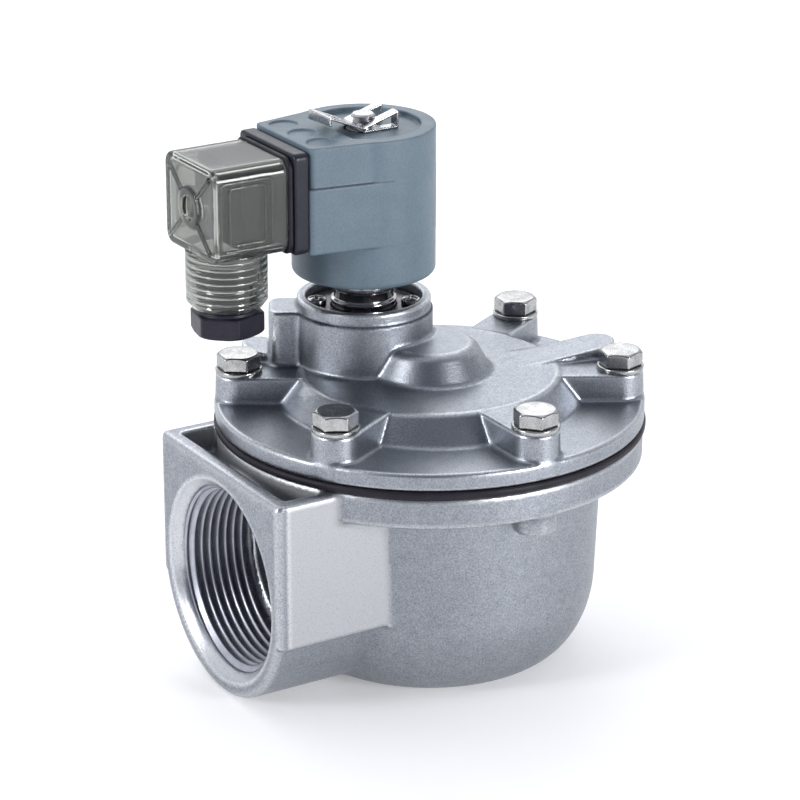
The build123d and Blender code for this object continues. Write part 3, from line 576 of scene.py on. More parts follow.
# %% Sizes of the cover
bolt_count = 6
lobe_turn = math.radians(30)
head_flats = 5.0
bolt_circle = (bolts_high[1] - bolts_low[1]) / 2 - head_flats / math.cos(lobe_turn)
bolt_hole = 3.3
lobe_half = 5.9
lobe_draft = 0.035
lobe_top = washer_low[2]
fade_start = 32.0
rim_top = cover_level + 4.6
cover_top = lobe_top + 0.3
cone_foot, cone_head = 38.4, 33.0
hump_top = cover_top + 7.4
hump_foot, hump_head = 15.8, 11.6
cover_wall = 4.2
chamber_foot, chamber_head = 40.4, 28.8
pocket_radius = 9.6
pad_tilt = math.radians(8)
pad_half = 5.8
pad_start, pad_emerges, pad_end = 12, 26, 44
post_radius, ring_radius, ring_height = 17.7, 17.15, 3.3
duct_turn = math.radians(150)
duct_half, duct_centre, duct_reach = 6.2, 9, 15.4
recess_floor = plate_low[2]
recess_radius, foot_radius = 14.95, 9.8
post_foot = cover_level + 6
core_level = cover_level + 1
print("bolt circle", round(float(bolt_circle), 2), "lobe top", round(float(lobe_top), 2))


# %% The cover's field
def folded(x, y):
    """Along and across coordinates of the nearest lobe: the angle taken modulo a sixth of a turn."""
    sector = 2 * math.pi / bolt_count
    angle = np.arctan2(y, x) - lobe_turn
    angle -= sector * np.round(angle / sector)
    reach = np.hypot(x, y)
    return reach * np.cos(angle), reach * np.sin(angle)


def pad_form(x, y, z, turn):
    """Low pad with a tilted top that comes out of the plateau, round at its outer end."""
    along, across = along_across(x, y, turn)
    top = (z - cover_top) * math.cos(pad_tilt) - (along - pad_emerges) * math.sin(pad_tilt)
    side = np.maximum(slot(along, across, pad_end, pad_half), pad_start - along)
    return common(common(side, top, 0.6), rim_top - 2 - z, 0.3)


def post_form(x, y, z):
    """Pilot post with its finer top ring, and the vent duct that leaves it to the side."""
    px, py = x - pilot[0], y - pilot[1]
    reach = np.hypot(px, py)
    column = drum(reach, z, post_radius, post_foot, post_top - ring_height, 0.25)
    ring = drum(reach, z, ring_radius, post_foot, post_top, 0.5)
    along, across = along_across(px, py, duct_turn)
    wall = common(np.abs(across) - duct_half, np.abs(along - duct_centre) - duct_reach, 3.0)
    duct = common(wall, slab(z, post_foot, post_top - 2.9), 0.9)
    return joined(joined(column, ring, 0.2), duct, 1.2)


def cover_field(x, y, z):
    """Rim, cone, lobes, hump, pads and post joined by fillets, less the chamber, the recess and the holes."""
    reach = np.hypot(x, y)
    rim = drum(reach, z, rim_radius, cover_level, rim_top, 0.9)
    dome = common(slope(reach, z, (cone_foot, rim_top), (cone_head, cover_top)),
                  slab(z, core_level, cover_top), 0.7)
    hump = common(slope(reach, z, (hump_foot, cover_top), (hump_head, hump_top)),
                  slab(z, core_level, hump_top), 1.5)
    along, across = folded(x, y)
    draft = (lobe_top - z) * lobe_draft
    bar = common(slot(along, across, bolt_circle, lobe_half) - draft, slab(z, core_level, lobe_top), 0.45)
    bar = np.maximum(bar, z - lobe_top + 0.3 * np.maximum(fade_start - along, 0))
    form = joined(rim, dome, 0.7)
    form = joined(form, bar, 0.8)
    form = joined(form, hump, 0.9)
    form = joined(form, pad_form(x, y, z, math.radians(-14)), 0.9)
    form = joined(form, pad_form(x, y, z, math.radians(134)), 0.9)
    form = joined(form, post_form(x, y, z), 1.0)
    roof = cover_top - cover_wall
    chamber = common(slope(reach, z, (chamber_foot, cover_level), (chamber_head, roof)), z - roof, 1.5)
    pocket = common(reach - pocket_radius, z - hump_top + cover_wall, 1.0)
    form = cut(form, np.minimum(chamber, pocket), 0.5)
    seat = np.hypot(x - pilot[0], y - pilot[1])
    recess = np.minimum(common(seat - recess_radius, recess_floor - z, 0.2),
                        common(seat - foot_radius, tube_low[2] - z, 0.2))
    form = cut(form, recess, 0.35)
    hole = np.hypot(along - bolt_circle, across) - bolt_hole
    return np.maximum(form, -hole)


# %% The cover's mesh and marks
cover_step = 0.59
seam_half = 0.4
points, faces = skin(cover_field, (-rim_radius, -rim_radius, cover_level), (rim_radius, rim_radius, post_top),
                     cover_step)
ring_line = np.clip(1 - np.abs(points[:, 2] - post_top + ring_height) / seam_half, 0, 1)
on_post = np.hypot(points[:, 0] - pilot[0], points[:, 1] - pilot[1])
ring_line *= (on_post > ring_radius - 0.65) & (on_post < post_radius + 0.5)
# The edge mark places the painted edge highlight; the seam mark is the dark line at the ring's step
piece("cover_casting", points, faces, "valve", "cast_aluminium_cover", cover_metal, ["cover"],
      edge=sharpness(cover_field, points) * (ring_line == 0), seam=ring_line)

# %% [markdown]
# ## The body casting
# Below the rubber the casting is a bowl whose wall bends in to the outlet, with the inlet neck grown into
# its side. The neck is a box above and a barrel below, open at the top behind its front wall, and its
# raised side pads are blasted bright.

# %% Sizes of the body
inlet_reach = -body_low[0]
inlet_height = 30.4
neck_half = 30.2
neck_top = joint_level - 0.8
neck_root = -20
side_wall, front_wall, crown_radius = 3.5, 4.0, 27.2
flange_low = joint_level - 8.0
bowl_bend = np.array([28.4, 22.9])
bowl_low_radius = 42.9
bowl_high_radius = 44.2
bowl_wall, chamber_radius = 4.0, 40.4
boss_radius, boss_drop = 5.4, 5
thread_radius, thread_length = 23.9, 22.0
mouth_width, mouth_depth, lip_width = 2.5, 4, 0.8
inner_bore, inner_end = 22.0, 28.0
pad_low = inlet_height - 7.8
pad_rise, pad_setback = 0.4, 2.4
pad_back = -30.6
nozzle_radius, nozzle_bend = 28.0, 26.0
neck_radius, neck_level = 22.5, 37.0
throat_radius, throat_level = 19.5, 26.4
blind_hole, blind_level = 3.0, 50


# %% The body's field
def bowl_form(reach, z, inset, top_radius):
    """Bowl turned round the axis: a straight wall above an elliptical bend, moved inwards by a wall."""
    centre = bowl_bend
    half = np.array([bowl_low_radius - centre[0] - inset, centre[1] - inset])
    wall = slope(reach, z, (bowl_low_radius - inset, centre[1]), (top_radius, flange_low))
    u = np.maximum(reach - centre[0], 0)
    v = np.minimum(z - centre[1], 0)
    ratio = np.hypot(u / half[0], v / half[1])
    steep = np.hypot(u / half[0] ** 2, v / half[1] ** 2)
    bend = ratio * (ratio - 1) / np.maximum(steep, 1e-6)
    bend = np.where(reach > centre[0], bend, centre[1] - half[1] - z)
    return np.where(z > centre[1], wall, bend)


def neck_form(x, y, z):
    """Neck: a box above and a barrel below, with raised pads on both sides and a rounded front."""
    across = np.abs(y)
    lift = z - inlet_height
    box = common(across - neck_half, slab(z, pad_low, neck_top), 0.5)
    barrel = np.hypot(y, lift) - neck_half
    section = np.minimum(box, barrel)
    neck = common(section, slab(x, -inlet_reach, neck_root), 1.6)
    pad = common(common(across - neck_half - pad_rise, slab(z, pad_low, neck_top - 0.3), 0.25),
                 slab(x, pad_setback - inlet_reach, neck_root), 0.25)
    neck = joined(neck, pad, 0.3)
    well = common(across - neck_half + side_wall, slab(x, front_wall - inlet_reach, neck_root), 1.0)
    crown = np.hypot(y, lift) - crown_radius
    well = np.maximum(np.maximum(well, flange_low - z), -crown)
    return cut(neck, well, 0.5)


def bore_form(x, y, z):
    """The inlet's bores along X with a wide chamfer at the mouth, and a plain one further in."""
    reach = np.hypot(y, z - inlet_height)
    depth = x + inlet_reach
    thread = np.maximum(reach - thread_radius, slab(depth, -2, thread_length))
    mouth = (reach - thread_radius - mouth_width + depth) / math.sqrt(2)
    mouth = np.maximum(mouth, depth - mouth_depth)
    inner = np.maximum(reach - inner_bore, x + inner_end)
    return np.minimum(np.minimum(thread, mouth), inner)


def body_field(x, y, z):
    """Bowl, flange, bosses and neck joined by fillets, hollowed, with the outlet nozzle inside."""
    reach = np.hypot(x, y)
    along, across = folded(x, y)
    bowl = np.maximum(bowl_form(reach, z, 0, bowl_high_radius), z - flange_low - 1)
    bowl = common(bowl, -z, 0.4)
    flange = drum(reach, z, flange_radius, flange_low, joint_level, 1.0)
    boss = drum(np.hypot(along - bolt_circle, across), z, boss_radius, flange_low - boss_drop,
                flange_low + 1, 0.6)
    form = joined(bowl, flange, 1.4)
    form = joined(form, boss, 1.0)
    form = joined(form, neck_form(x, y, z), 1.2)
    form = np.maximum(form, z - joint_level)
    chamber = np.maximum(bowl_form(reach, z, bowl_wall, chamber_radius), bowl_wall - z)
    hollow = np.minimum(chamber, bore_form(x, y, z))
    form = cut(form, hollow, 0.35)
    shoulder = slope(reach, z, (nozzle_radius, nozzle_bend), (neck_radius, neck_level))
    pipe = reach - nozzle_radius
    pipe = np.where(z < nozzle_bend, pipe, np.maximum(shoulder, pipe))
    pipe = np.where(z > neck_level, reach - neck_radius, pipe)
    nozzle = common(pipe, slab(z, 0, band_low[2]), 0.5)
    form = np.maximum(joined(form, nozzle, 1.2), -z)
    throat = np.minimum(reach - throat_radius, np.maximum(reach - thread_radius, z - thread_length))
    funnel = np.maximum(slope(reach, z, (thread_radius, thread_length), (throat_radius, throat_level)),
                        slab(z, thread_length - 1, throat_level))
    lip = (reach - thread_radius - lip_width + z) / math.sqrt(2)
    throat = np.minimum(np.minimum(throat, funnel), lip)
    form = np.maximum(form, -throat)
    hole = np.maximum(np.hypot(along - bolt_circle, across) - blind_hole, blind_level - z)
    return np.maximum(form, -hole)


# %% The body's mesh and marks
body_step = 0.95
points, faces = skin(body_field, body_low, body_high, body_step)
side_pads = (np.abs(points[:, 1]) > neck_half + 0.1) & (np.abs(points[:, 1]) < neck_half + pad_rise + 0.5)
side_pads = side_pads * np.clip(0.5 - (points[:, 0] - pad_back) / 1.6, 0, 1) * (points[:, 2] > pad_low)
pocket = (np.abs(points[:, 1]) < neck_half - side_wall + 0.3) & (points[:, 2] > flange_low - 0.5)
pocket &= (points[:, 0] < 0) & (points[:, 0] > front_wall - 0.2 - inlet_reach)
pocket &= np.hypot(points[:, 0], points[:, 1]) > flange_radius - 0.2
depth = points[:, 0] + inlet_reach
from_mouth = np.hypot(points[:, 1], points[:, 2] - inlet_height) - thread_radius - mouth_width + depth
on_mouth = np.clip(1.2 - np.abs(from_mouth) / 0.5, 0, 1) * np.clip(depth / 0.8, 0, 1) * (depth < 3.4)
# The edge mark places the painted edge highlight on the body's sharp edges
piece("body_casting", points, faces, "valve", "cast_aluminium", cast_metal, ["body"],
      edge=0.8 * sharpness(body_field, points, 0.7), blasted=np.maximum(side_pads, 0.9 * pocket),
      machined=on_mouth)

# %% [markdown]
# ## The pipe threads
# Both mouths have a pipe thread, which is one ridge that climbs round the bore. The outline of the
# ridge's section is carried along a helix: each turn of the angle moves it on by one pitch. The ridge
# fades in at the mouth, where the chamfer cuts it, and the back of the section lies inside the wall.


# %% Outlines carried round
def grid_faces(rows, columns, close_rows, close_columns):
    """Quads of a grid of points, closed on itself along the rows or the columns where that is asked."""
    row, column = np.meshgrid(np.arange(rows - (not close_rows)), np.arange(columns - (not close_columns)),
                              indexing="ij")
    next_row = (row + 1) % rows
    next_column = (column + 1) % columns
    quad = [row * columns + column, next_row * columns + column,
            next_row * columns + next_column, row * columns + next_column]
    return np.stack(quad, axis=-1).reshape(-1, 4)


def end_caps(rows, columns):
    """Quads across both open ends of a tube whose section has an even number of points."""
    step = np.arange(columns // 2 - 1)
    first = np.stack([step, step + 1, columns - 2 - step, columns - 1 - step], axis=1)
    return np.concatenate([first, first[:, ::-1] + (rows - 1) * columns])


def merged(parts):
    """Several (points, faces) pairs as one mesh."""
    shift = np.cumsum([0] + [len(points) for points, _ in parts[:-1]])
    points = np.concatenate([points for points, _ in parts])
    return points, np.concatenate([faces + start for (_, faces), start in zip(parts, shift)])


def thread_ridge(radius, pitch, depth, start, end, cone):
    """Ridge in a bore along Z: radius R less depth x section height, at level start + pitch x turns + s.

    The section height runs 0..1..0 over one pitch, as the smoothed tooth of a pipe thread does, and no
    point comes nearer to the axis than the mouth's cone, radius + cone - (level - start).
    """
    across = np.linspace(-0.5, 0.5, 12)
    height = np.clip(1.28 * (1 - np.abs(across) / 0.5) - 0.1, -0.03, 1)
    across = np.concatenate([across, [0.45, -0.45]])
    height = np.concatenate([height, [-0.4, -0.4]])
    turns = (end - start) / pitch - 1
    turn = np.linspace(0, turns, int(turns * 120))[:, None]
    fade = np.clip(np.minimum(turn, turns - turn) * 3, 0, 1)
    level = start + pitch * (turn + across + 0.5)
    reach = radius - depth * np.where(height < 0, height, height * fade)
    reach = np.maximum(reach, radius + cone - (level - start))
    angle = 2 * math.pi * turn + 0 * across
    points = np.stack([reach * np.cos(angle), reach * np.sin(angle), level], axis=-1).reshape(-1, 3)
    sides = grid_faces(len(turn), len(across), False, True)
    return points, np.concatenate([sides, end_caps(len(turn), len(across))])[:, ::-1]


# %% Inlet and outlet threads
thread_pitch = 2.309
thread_depth = 1.479
points, faces = thread_ridge(thread_radius, thread_pitch, thread_depth, 1.0, thread_length, 1.9)
lying = np.stack([points[:, 2] - inlet_reach, points[:, 1], inlet_height - points[:, 0]], axis=1)
piece("inlet_thread", lying, faces, "valve", "cast_aluminium", thread_metal)
points, faces = thread_ridge(thread_radius, thread_pitch, thread_depth, 0.2, thread_length, lip_width)
piece("outlet_thread", points, faces, "valve", "cast_aluminium", thread_metal)

# %% [markdown]
# ## Bolts and washers
# A hexagon head is turned to a cone on top, so each side ends in an arc. As a field that is three pairs
# of planes and a cone, all rounded a little. The six bolts stand at slightly different turns, as bolts
# that were tightened by hand do.

# %% Bolt heads and shanks
washer_top = washer_high[2]
head_top = bolts_high[2]
shank_radius = 3.0


def hexagon(x, y, half_flats, edge):
    """Distance to a hexagonal prism: the largest of |p . n| over three side directions, less the half."""
    turns = (0, math.pi / 3, 2 * math.pi / 3)
    sides = [np.abs(x * math.cos(a) + y * math.sin(a)) - half_flats for a in turns]
    return common(common(sides[0], sides[1], edge), sides[2], edge)


def head_field(x, y, z):
    """Hexagon head with a turned top and a thin round face under it."""
    reach = np.hypot(x, y)
    head = common(hexagon(x, y, head_flats, 0.3), slab(z, washer_top + 0.15, head_top), 0.15)
    crown = (reach - head_flats + 0.3) * 0.5 + (z - head_top) * 0.866
    head = common(head, crown, 0.15)
    return np.minimum(head, drum(reach, z, head_flats - 0.25, washer_top, washer_top + 0.5, 0.1))


def shank_field(x, y, z):
    """Round rod of the bolt, which reaches up into the head."""
    return drum(np.hypot(x, y), z, shank_radius, bolts_low[2], washer_top + 2, 0.5)


def placed(points, turn, place):
    """Points turned about Z and then moved in the plane."""
    c, s = math.cos(turn), math.sin(turn)
    x, y, z = np.asarray(points).T
    return np.stack([c * x - s * y + place[0], s * x + c * y + place[1], z], axis=1)


# %% Six bolts
corner = head_flats / math.cos(math.radians(30))
one_bolt = merged([
    skin(head_field, (-corner, -corner, washer_top), (corner, corner, head_top), 0.27),
    skin(shank_field, (-shank_radius, -shank_radius, bolts_low[2]),
         (shank_radius, shank_radius, washer_top + 2), 0.6),
])
head_turns = [math.radians(-121.5 + offset) for offset in (-4, 20, -6, 3, -17, -11)]
bolt_angles = [lobe_turn + 2 * math.pi * k / bolt_count for k in range(bolt_count)]
bolt_places = [(bolt_circle * math.cos(a), bolt_circle * math.sin(a)) for a in bolt_angles]
bolt_set = [(placed(one_bolt[0], turn, place), one_bolt[1]) for turn, place in zip(head_turns, bolt_places)]
piece("hexagon_bolts", *merged(bolt_set), "valve", "zinc_steel", zinc, ["cover_bolts"])


# %% Turned outlines
def rounded(corners, radius, steps=4):
    """Closed outline whose corners become curves: (1-t)^2 A + 2t(1-t) P + t^2 B, cut at most halfway."""
    corner = np.asarray(corners, float)
    before = np.roll(corner, 1, axis=0) - corner
    after = np.roll(corner, -1, axis=0) - corner
    length_before = np.linalg.norm(before, axis=1, keepdims=True)
    length_after = np.linalg.norm(after, axis=1, keepdims=True)
    reach = np.minimum(radius, 0.48 * np.minimum(length_before, length_after))
    start = (corner + before / length_before * reach)[:, None]
    end = (corner + after / length_after * reach)[:, None]
    t = np.linspace(0, 1, steps)[None, :, None]
    return ((1 - t) ** 2 * start + 2 * t * (1 - t) * corner[:, None] + t ** 2 * end).reshape(-1, 2)


def turned(outline, centre, segments=96):
    """Closed outline of (radius, level) points carried round an upright axis, upwards on the outside."""
    angle = np.linspace(0, 2 * math.pi, segments, endpoint=False)[:, None]
    radius, level = np.asarray(outline).T
    x = centre[0] + radius * np.cos(angle)
    y = centre[1] + radius * np.sin(angle)
    points = np.stack([x, y, level + 0 * x], axis=-1).reshape(-1, 3)
    return points, grid_faces(segments, len(radius), True, True)


# %% Washers
washer_radius = washer_high[0] - bolt_circle * math.cos(lobe_turn)
washer_outline = rounded([(bolt_hole, lobe_top), (washer_radius, lobe_top), (washer_radius, washer_top),
                          (bolt_hole, washer_top)], 0.3)
piece("flat_washers", *merged([turned(washer_outline, place, 64) for place in bolt_places]),
      "valve", "zinc_steel", zinc, ["cover_washers"])

# %% [markdown]
# ## The rubber
# The rubber shows only as a dark band between the two castings, but it is made whole, with the rolled
# web that lets its middle lift. It is soft, so in the valve its middle follows the moving plates while its
# rim stays clamped; here it is made as one fixed piece at rest.

# %% The diaphragm
rubber_radius = band_high[0]
middle_low = band_low[2]
rubber_thickness = cover_level - joint_level
middle_high = middle_low + rubber_thickness
web_centre = 35.0
roll_rise, roll_below, roll_above = 1.3, 2.6, 4.6
clamp_start, clamp_gap = 50, 0.02
rivet_hole = 4.0
lower_roll = np.linspace(-roll_below, roll_below, 13)
upper_roll = np.linspace(roll_above, -roll_above, 17)
clamped_edge = rounded([(clamp_start, joint_level + clamp_gap), (rubber_radius, joint_level + clamp_gap),
                        (rubber_radius, cover_level - clamp_gap), (clamp_start, cover_level - clamp_gap)],
                       0.8, 7)[7:21]
rubber_outline = np.concatenate([
    [(rivet_hole, middle_low), (25.5, middle_low)],
    np.stack([web_centre + lower_roll,
              joint_level + roll_rise * (1 - (lower_roll / roll_below) ** 2)], axis=1),
    clamped_edge,
    np.stack([web_centre + upper_roll,
              cover_level + roll_rise * (1 - (upper_roll / roll_above) ** 2)], axis=1),
    [(24.5, middle_high), (rivet_hole, middle_high)],
])
rubber = piece("rubber_diaphragm", *turned(rubber_outline, (0, 0), 240), None, "black_rubber",
               black_rubber, ["main_diaphragm"])
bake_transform(rubber)
print("rubber middle at", round(float(middle_low), 2), "to", round(float(middle_high), 2))

# %% [markdown]
# ## The pilot's tube, plate and screws
# In the post's recess a dark plate holds the tube's foot down. The turned collar above it carries the
# coil, and two pan-head screws hold the plate: their deep crosses are two slots crossed at right angles.

# %% Collar and plate
plate_top = plate_high[2]
plate_hole, plate_radius = 8.4, 14.6
tube_bore, tube_radius, tube_foot = 4.3, 4.7, 9.6
collar_wide, collar_bead, collar_neck = 8.2, 8.5, 7.6
collar_outline = rounded([
    (tube_bore, tube_low[2]), (tube_foot, tube_low[2]), (tube_foot, recess_floor - 0.05),
    (collar_wide, recess_floor), (collar_wide, plate_top + 0.9), (collar_bead, plate_top + 1.1),
    (collar_bead, plate_top + 2.0), (collar_neck, plate_top + 2.3), (collar_neck, plate_top + 4.7),
    (collar_wide, plate_top + 5.0), (collar_wide, coil_low[2] - 0.02), (tube_radius, coil_low[2]),
    (tube_radius, tube_high[2]), (tube_bore, tube_high[2]),
], 0.25)
piece("turned_collar", *turned(collar_outline, pilot, 96), "valve", "polished_steel", polished,
      ["armature_tube"])
plate_outline = rounded([(plate_hole, recess_floor), (plate_radius, recess_floor),
                         (plate_radius, plate_top), (plate_hole, plate_top)], 0.4)
piece("dark_plate", *turned(plate_outline, pilot, 96), "valve", "dark_plate", dark_steel,
      ["tube_clamp_plate"])

# %% Cross-head screws
screw_circle = 12.1
screw_line = math.radians(-31.5)
pan_top = plate_top + 1.9
pan_radius, pan_dome = 2.6, 5.5
cross_reach, cross_half, cross_depth = 1.9, 0.5, 1.1
rod_radius, rod_low = 1.5, plate_top - 6.1


def screw_field(x, y, z):
    """Pan head, domed by a large sphere, less a cross of two tapering slots; with its rod."""
    reach = np.hypot(x, y)
    dome = np.hypot(reach, z - pan_top + pan_dome) - pan_dome
    head = common(common(reach - pan_radius, slab(z, plate_top, pan_top), 0.3), dome, 0.2)
    taper = 0.25 * (z - pan_top)
    arms = np.minimum(np.maximum(np.abs(x) - cross_reach, np.abs(y) - cross_half),
                      np.maximum(np.abs(y) - cross_reach, np.abs(x) - cross_half))
    cross = np.maximum(arms - taper, pan_top - cross_depth - z)
    rod = drum(reach, z, rod_radius, rod_low, plate_top + 0.5, 0.2)
    return np.minimum(cut(head, cross, 0.12), rod)


one_screw = skin(screw_field, (-pan_radius, -pan_radius, rod_low), (pan_radius, pan_radius, pan_top), 0.2)
screw_set = []
for side, turn in ((0, 0.5), (math.pi, 1.1)):
    way = np.array([math.cos(screw_line + side), math.sin(screw_line + side)])
    screw_set.append((placed(one_screw[0], turn, pilot + screw_circle * way), one_screw[1]))
piece("cross_head_screws", *merged(screw_set), "valve", "zinc_steel", zinc, ["pilot_screws"])

# %% [markdown]
# ## The moulded coil
# The coil is one moulding: a barrel whose sides run straight into a square head. In plan that is a
# circle with two tangent lines, so its distance is the circle's behind the touching points and the
# line's in front of them. Recess, marks and the small step in the side are cut or added as fields.

# %% Sizes of the coil
barrel_radius = coil_high[0] - pilot[0]
head_reach = pilot[0] - coil_low[0]
head_half = 14.4
head_low = coil_low[2] + 11.2
head_corner = 1.2
step_level, step_inset = coil_high[2] - 10.2, 0.5
coil_floor = coil_high[2] - 1.2
recess_reach, recess_front = 14.6, 9.5
mark_reach, mark_spacing, mark_radius, mark_depth = 17.6, 9.4, 3.6, 0.5
soft_foot, crisp_edge = 1.3, 0.35
coil_bore = 4.8
corner_distance = math.hypot(head_reach, head_half)
touch_turn = math.atan2(head_half, -head_reach) - math.acos(barrel_radius / corner_distance)
print("coil barrel", round(float(barrel_radius), 2), "head reach", round(float(head_reach), 2))


# %% The coil's field
def head_plan(x, y, inset, corner_radius):
    """Plan of the head: circle, tangent lines p . n - R, and the flat end, all moved in by an inset."""
    normal = (math.cos(touch_turn), math.sin(touch_turn))
    across = np.abs(y)
    forward = -x * normal[1] + across * normal[0]
    side = x * normal[0] + across * normal[1] - barrel_radius
    plan = np.where(forward > 0, side, np.hypot(x, y) - barrel_radius)
    return common(plan + inset, -x - head_reach + inset, corner_radius)


def coil_field(x, y, z):
    """Barrel and head joined, less the top recess, three round marks and the bore."""
    lx, ly = x - pilot[0], y - pilot[1]
    reach = np.hypot(lx, ly)
    foot, top = [drum(reach, z, barrel_radius, coil_low[2], coil_high[2], edge)
                 for edge in (soft_foot, crisp_edge)]
    barrel = np.where(z > coil_low[2] + 6, top, foot)
    lower = common(head_plan(lx, ly, 0, head_corner), slab(z, head_low, step_level), crisp_edge)
    upper = common(head_plan(lx, ly, step_inset, head_corner), slab(z, head_low, coil_high[2]), crisp_edge)
    form = joined(barrel, np.minimum(lower, upper), 0.2)
    recess = common(common(reach - recess_reach, -lx - recess_front, 0.6), coil_floor - z, 0.15)
    form = cut(form, recess, 0.2)
    for side in (-mark_spacing, 0, mark_spacing):
        mark = np.maximum(np.hypot(lx + mark_reach, ly - side) - mark_radius, coil_high[2] - mark_depth - z)
        form = cut(form, mark, 0.06)
    return np.maximum(form, coil_bore - reach)


points, faces = skin(coil_field, coil_low, coil_high, 0.38)
step_line = np.clip(1 - np.abs(points[:, 2] - step_level) / 0.3, 0, 1) * (points[:, 0] < pilot[0] - 2)
piece("coil_moulding", points, faces, "coil", "coil_resin", coil_resin, ["coil_housing"], seam=step_line)

# %% [markdown]
# ## The spring clip
# The clip is a strip bent in one direction, so its form is flat: the distance to a bent line, less half
# the thickness, and then cut to the strip's width. Its fork and its hole are cut through from above.

# %% The clip
clip_low, clip_high = span("coil_clip")
clip_half = (clip_high[1] - clip_low[1]) / 2
clip_line = [(-12.4, 3.4), (-12.4, 5.2), (-2.8, 1.2), (7.0, 4.2), (7.0, 0.35), (-2.4, 0.35)]
strip_half = 0.33
fork_half = 2.5
wing_hole, wing_hole_reach = 1.8, 8.6


def line_distance(x, y, start, end):
    """Distance to a straight run: |p - a - t (b - a)| with t held between 0 and 1."""
    run = np.array(end) - np.array(start)
    t = ((x - start[0]) * run[0] + (y - start[1]) * run[1]) / (run ** 2).sum()
    t = np.clip(t, 0, 1)
    return np.hypot(x - start[0] - t * run[0], y - start[1] - t * run[1])


def clip_field(x, y, z):
    """Bent strip with a hole in its wing and a fork that clears the core."""
    lx, ly, lz = x - pilot[0], y - pilot[1], z - coil_floor
    runs = [line_distance(lx, lz, a, b) for a, b in zip(clip_line, clip_line[1:])]
    strip = common(np.minimum.reduce(runs) - strip_half, np.abs(ly) - clip_half, 0.12)
    fork = np.minimum(np.hypot(lx, ly), np.where(lx > 0, np.abs(ly), 99)) - fork_half
    hole = np.hypot(lx + wing_hole_reach, ly) - wing_hole
    return cut(cut(strip, fork, 0.12), hole, 0.12)


piece("spring_clip", *skin(clip_field, clip_low, clip_high, 0.22), "coil", "bright_clip", bright_clip,
      ["coil_clip"])

# %% [markdown]
# ## Frame, gasket and the plug's clear shell
# These are plates with rounded outlines, one behind the other. The shell is hollow with a real wall,
# because a clear moulding shows both of its faces: the light line of the outer edge and the dark one of
# the inner. The gland barrel below the shell is a turned piece of its own, with the rings of its thread
# inside, and the raised frames and ribs are round beads laid half into the wall.


# %% Rounded plates
def rounded_box(across, level, half_width, low, high, corner):
    """Distance to a rounded rectangle: the length of the part outside the corner centres, less r."""
    u = np.abs(across) - half_width + corner
    v = np.abs(level - (low + high) / 2) - (high - low) / 2 + corner
    return np.hypot(np.maximum(u, 0), np.maximum(v, 0)) + np.minimum(np.maximum(u, v), 0) - corner


def plate_field(half_width, low, high, start, end, corner, edge):
    """Field of an upright rounded plate between two reaches from the coil's axis."""
    def field(x, y, z):
        plan = rounded_box(y - pilot[1], z, half_width, low, high, corner)
        return common(plan, slab(pilot[0] - x, start, end), edge)
    return field


frame_start, frame_end = pilot[0] - frame_high[0], pilot[0] - frame_low[0]
seal_end = pilot[0] - seal_low[0]
for name, replaced, slot_name, material, low, high, start, end, corner, edge, step in (
        ("terminal_plate", "terminal_frame", "frame_plastic", frame_plastic, frame_low, frame_high,
         frame_start, frame_end, 1.6, 0.6, 0.42),
        ("plug_gasket", "connector_gasket", "black_rubber", black_rubber, seal_low, seal_high,
         frame_end, seal_end, 3.4, 0.7, 0.35)):
    plate = plate_field((high[1] - low[1]) / 2, low[2], high[2], start, end, corner, edge)
    piece(name, *skin(plate, low, high, step), "coil", slot_name, material, [replaced])

# %% The clear shell's field
plug_start = seal_end
plug_end = plug_start + 20.4
plug_half = 12.9
plug_bottom = coil_low[2] + 12.3
plug_top = coil_low[2] + 36.1
plug_middle = (plug_bottom + plug_top) / 2
plug_wall = 1.6
plug_corner = 3.2
screw_boss, boss_depth, boss_rise = 5.2, 8.4, 0.6
screw_well, well_depth = 3.2, 5.0
gland_reach, gland_mouth = 39.6, 8.0
gland_low = plug_low[2]


def shell_field(x, y, z):
    """Rounded box, hollow and open at the back and over the gland, with a column for the screw."""
    ahead, side = pilot[0] - x, y - pilot[1]
    from_screw = np.hypot(side, z - plug_middle)
    box = common(rounded_box(side, z, plug_half, plug_bottom, plug_top, plug_corner), ahead - plug_end, 1.0)
    boss = common(from_screw - screw_boss, ahead - plug_end - boss_rise, 0.3)
    boss = np.maximum(boss, plug_end - boss_depth - ahead)
    form = joined(box, boss, 0.3)
    inner = rounded_box(side, z, plug_half - plug_wall, plug_bottom + plug_wall, plug_top - plug_wall, 1.8)
    inner = common(inner, ahead - plug_end + plug_wall, 0.6)
    inner = cut(inner, from_screw - screw_boss, 0.4)
    bore = np.maximum(np.hypot(ahead - gland_reach, side) - gland_mouth, z - plug_bottom - plug_wall - 0.5)
    form = cut(form, np.minimum(inner, bore), 0.2)
    well = common(from_screw - screw_well, plug_end - well_depth - ahead, 0.1)
    form = cut(form, well, 0.25)
    return np.maximum(form, plug_start - ahead)


piece("clear_plug_shell", *skin(shell_field, (plug_low[0], plug_low[1], plug_bottom), plug_high, 0.38),
      "coil", "clear_smoke", smoke, ["connector_housing"])

# %% Gland barrel
gland_axis = (pilot[0] - gland_reach, pilot[1])
gland_bore, gland_rim, gland_outside = 7.7, 9.0, 10.3
gland_top = plug_bottom + 0.05
ring_pitch, ring_top = 1.75, plug_bottom - 0.6
ring_levels = np.linspace(ring_top, gland_low + 1.4, 105)
ring_depth = 0.3 - 0.3 * np.cos(2 * math.pi * (ring_top - ring_levels) / ring_pitch)
barrel_outline = np.concatenate([
    rounded([(gland_bore, gland_low), (gland_rim, gland_low), (gland_outside, gland_low + 1.8),
             (gland_outside, gland_top), (gland_bore, gland_top)], 0.25)[2:],
    np.stack([gland_bore + ring_depth, ring_levels], axis=1),
])
piece("clear_gland_barrel", *turned(barrel_outline, gland_axis, 128), "coil", "clear_smoke", smoke)


# %% Beads along paths
bead_sides = 8


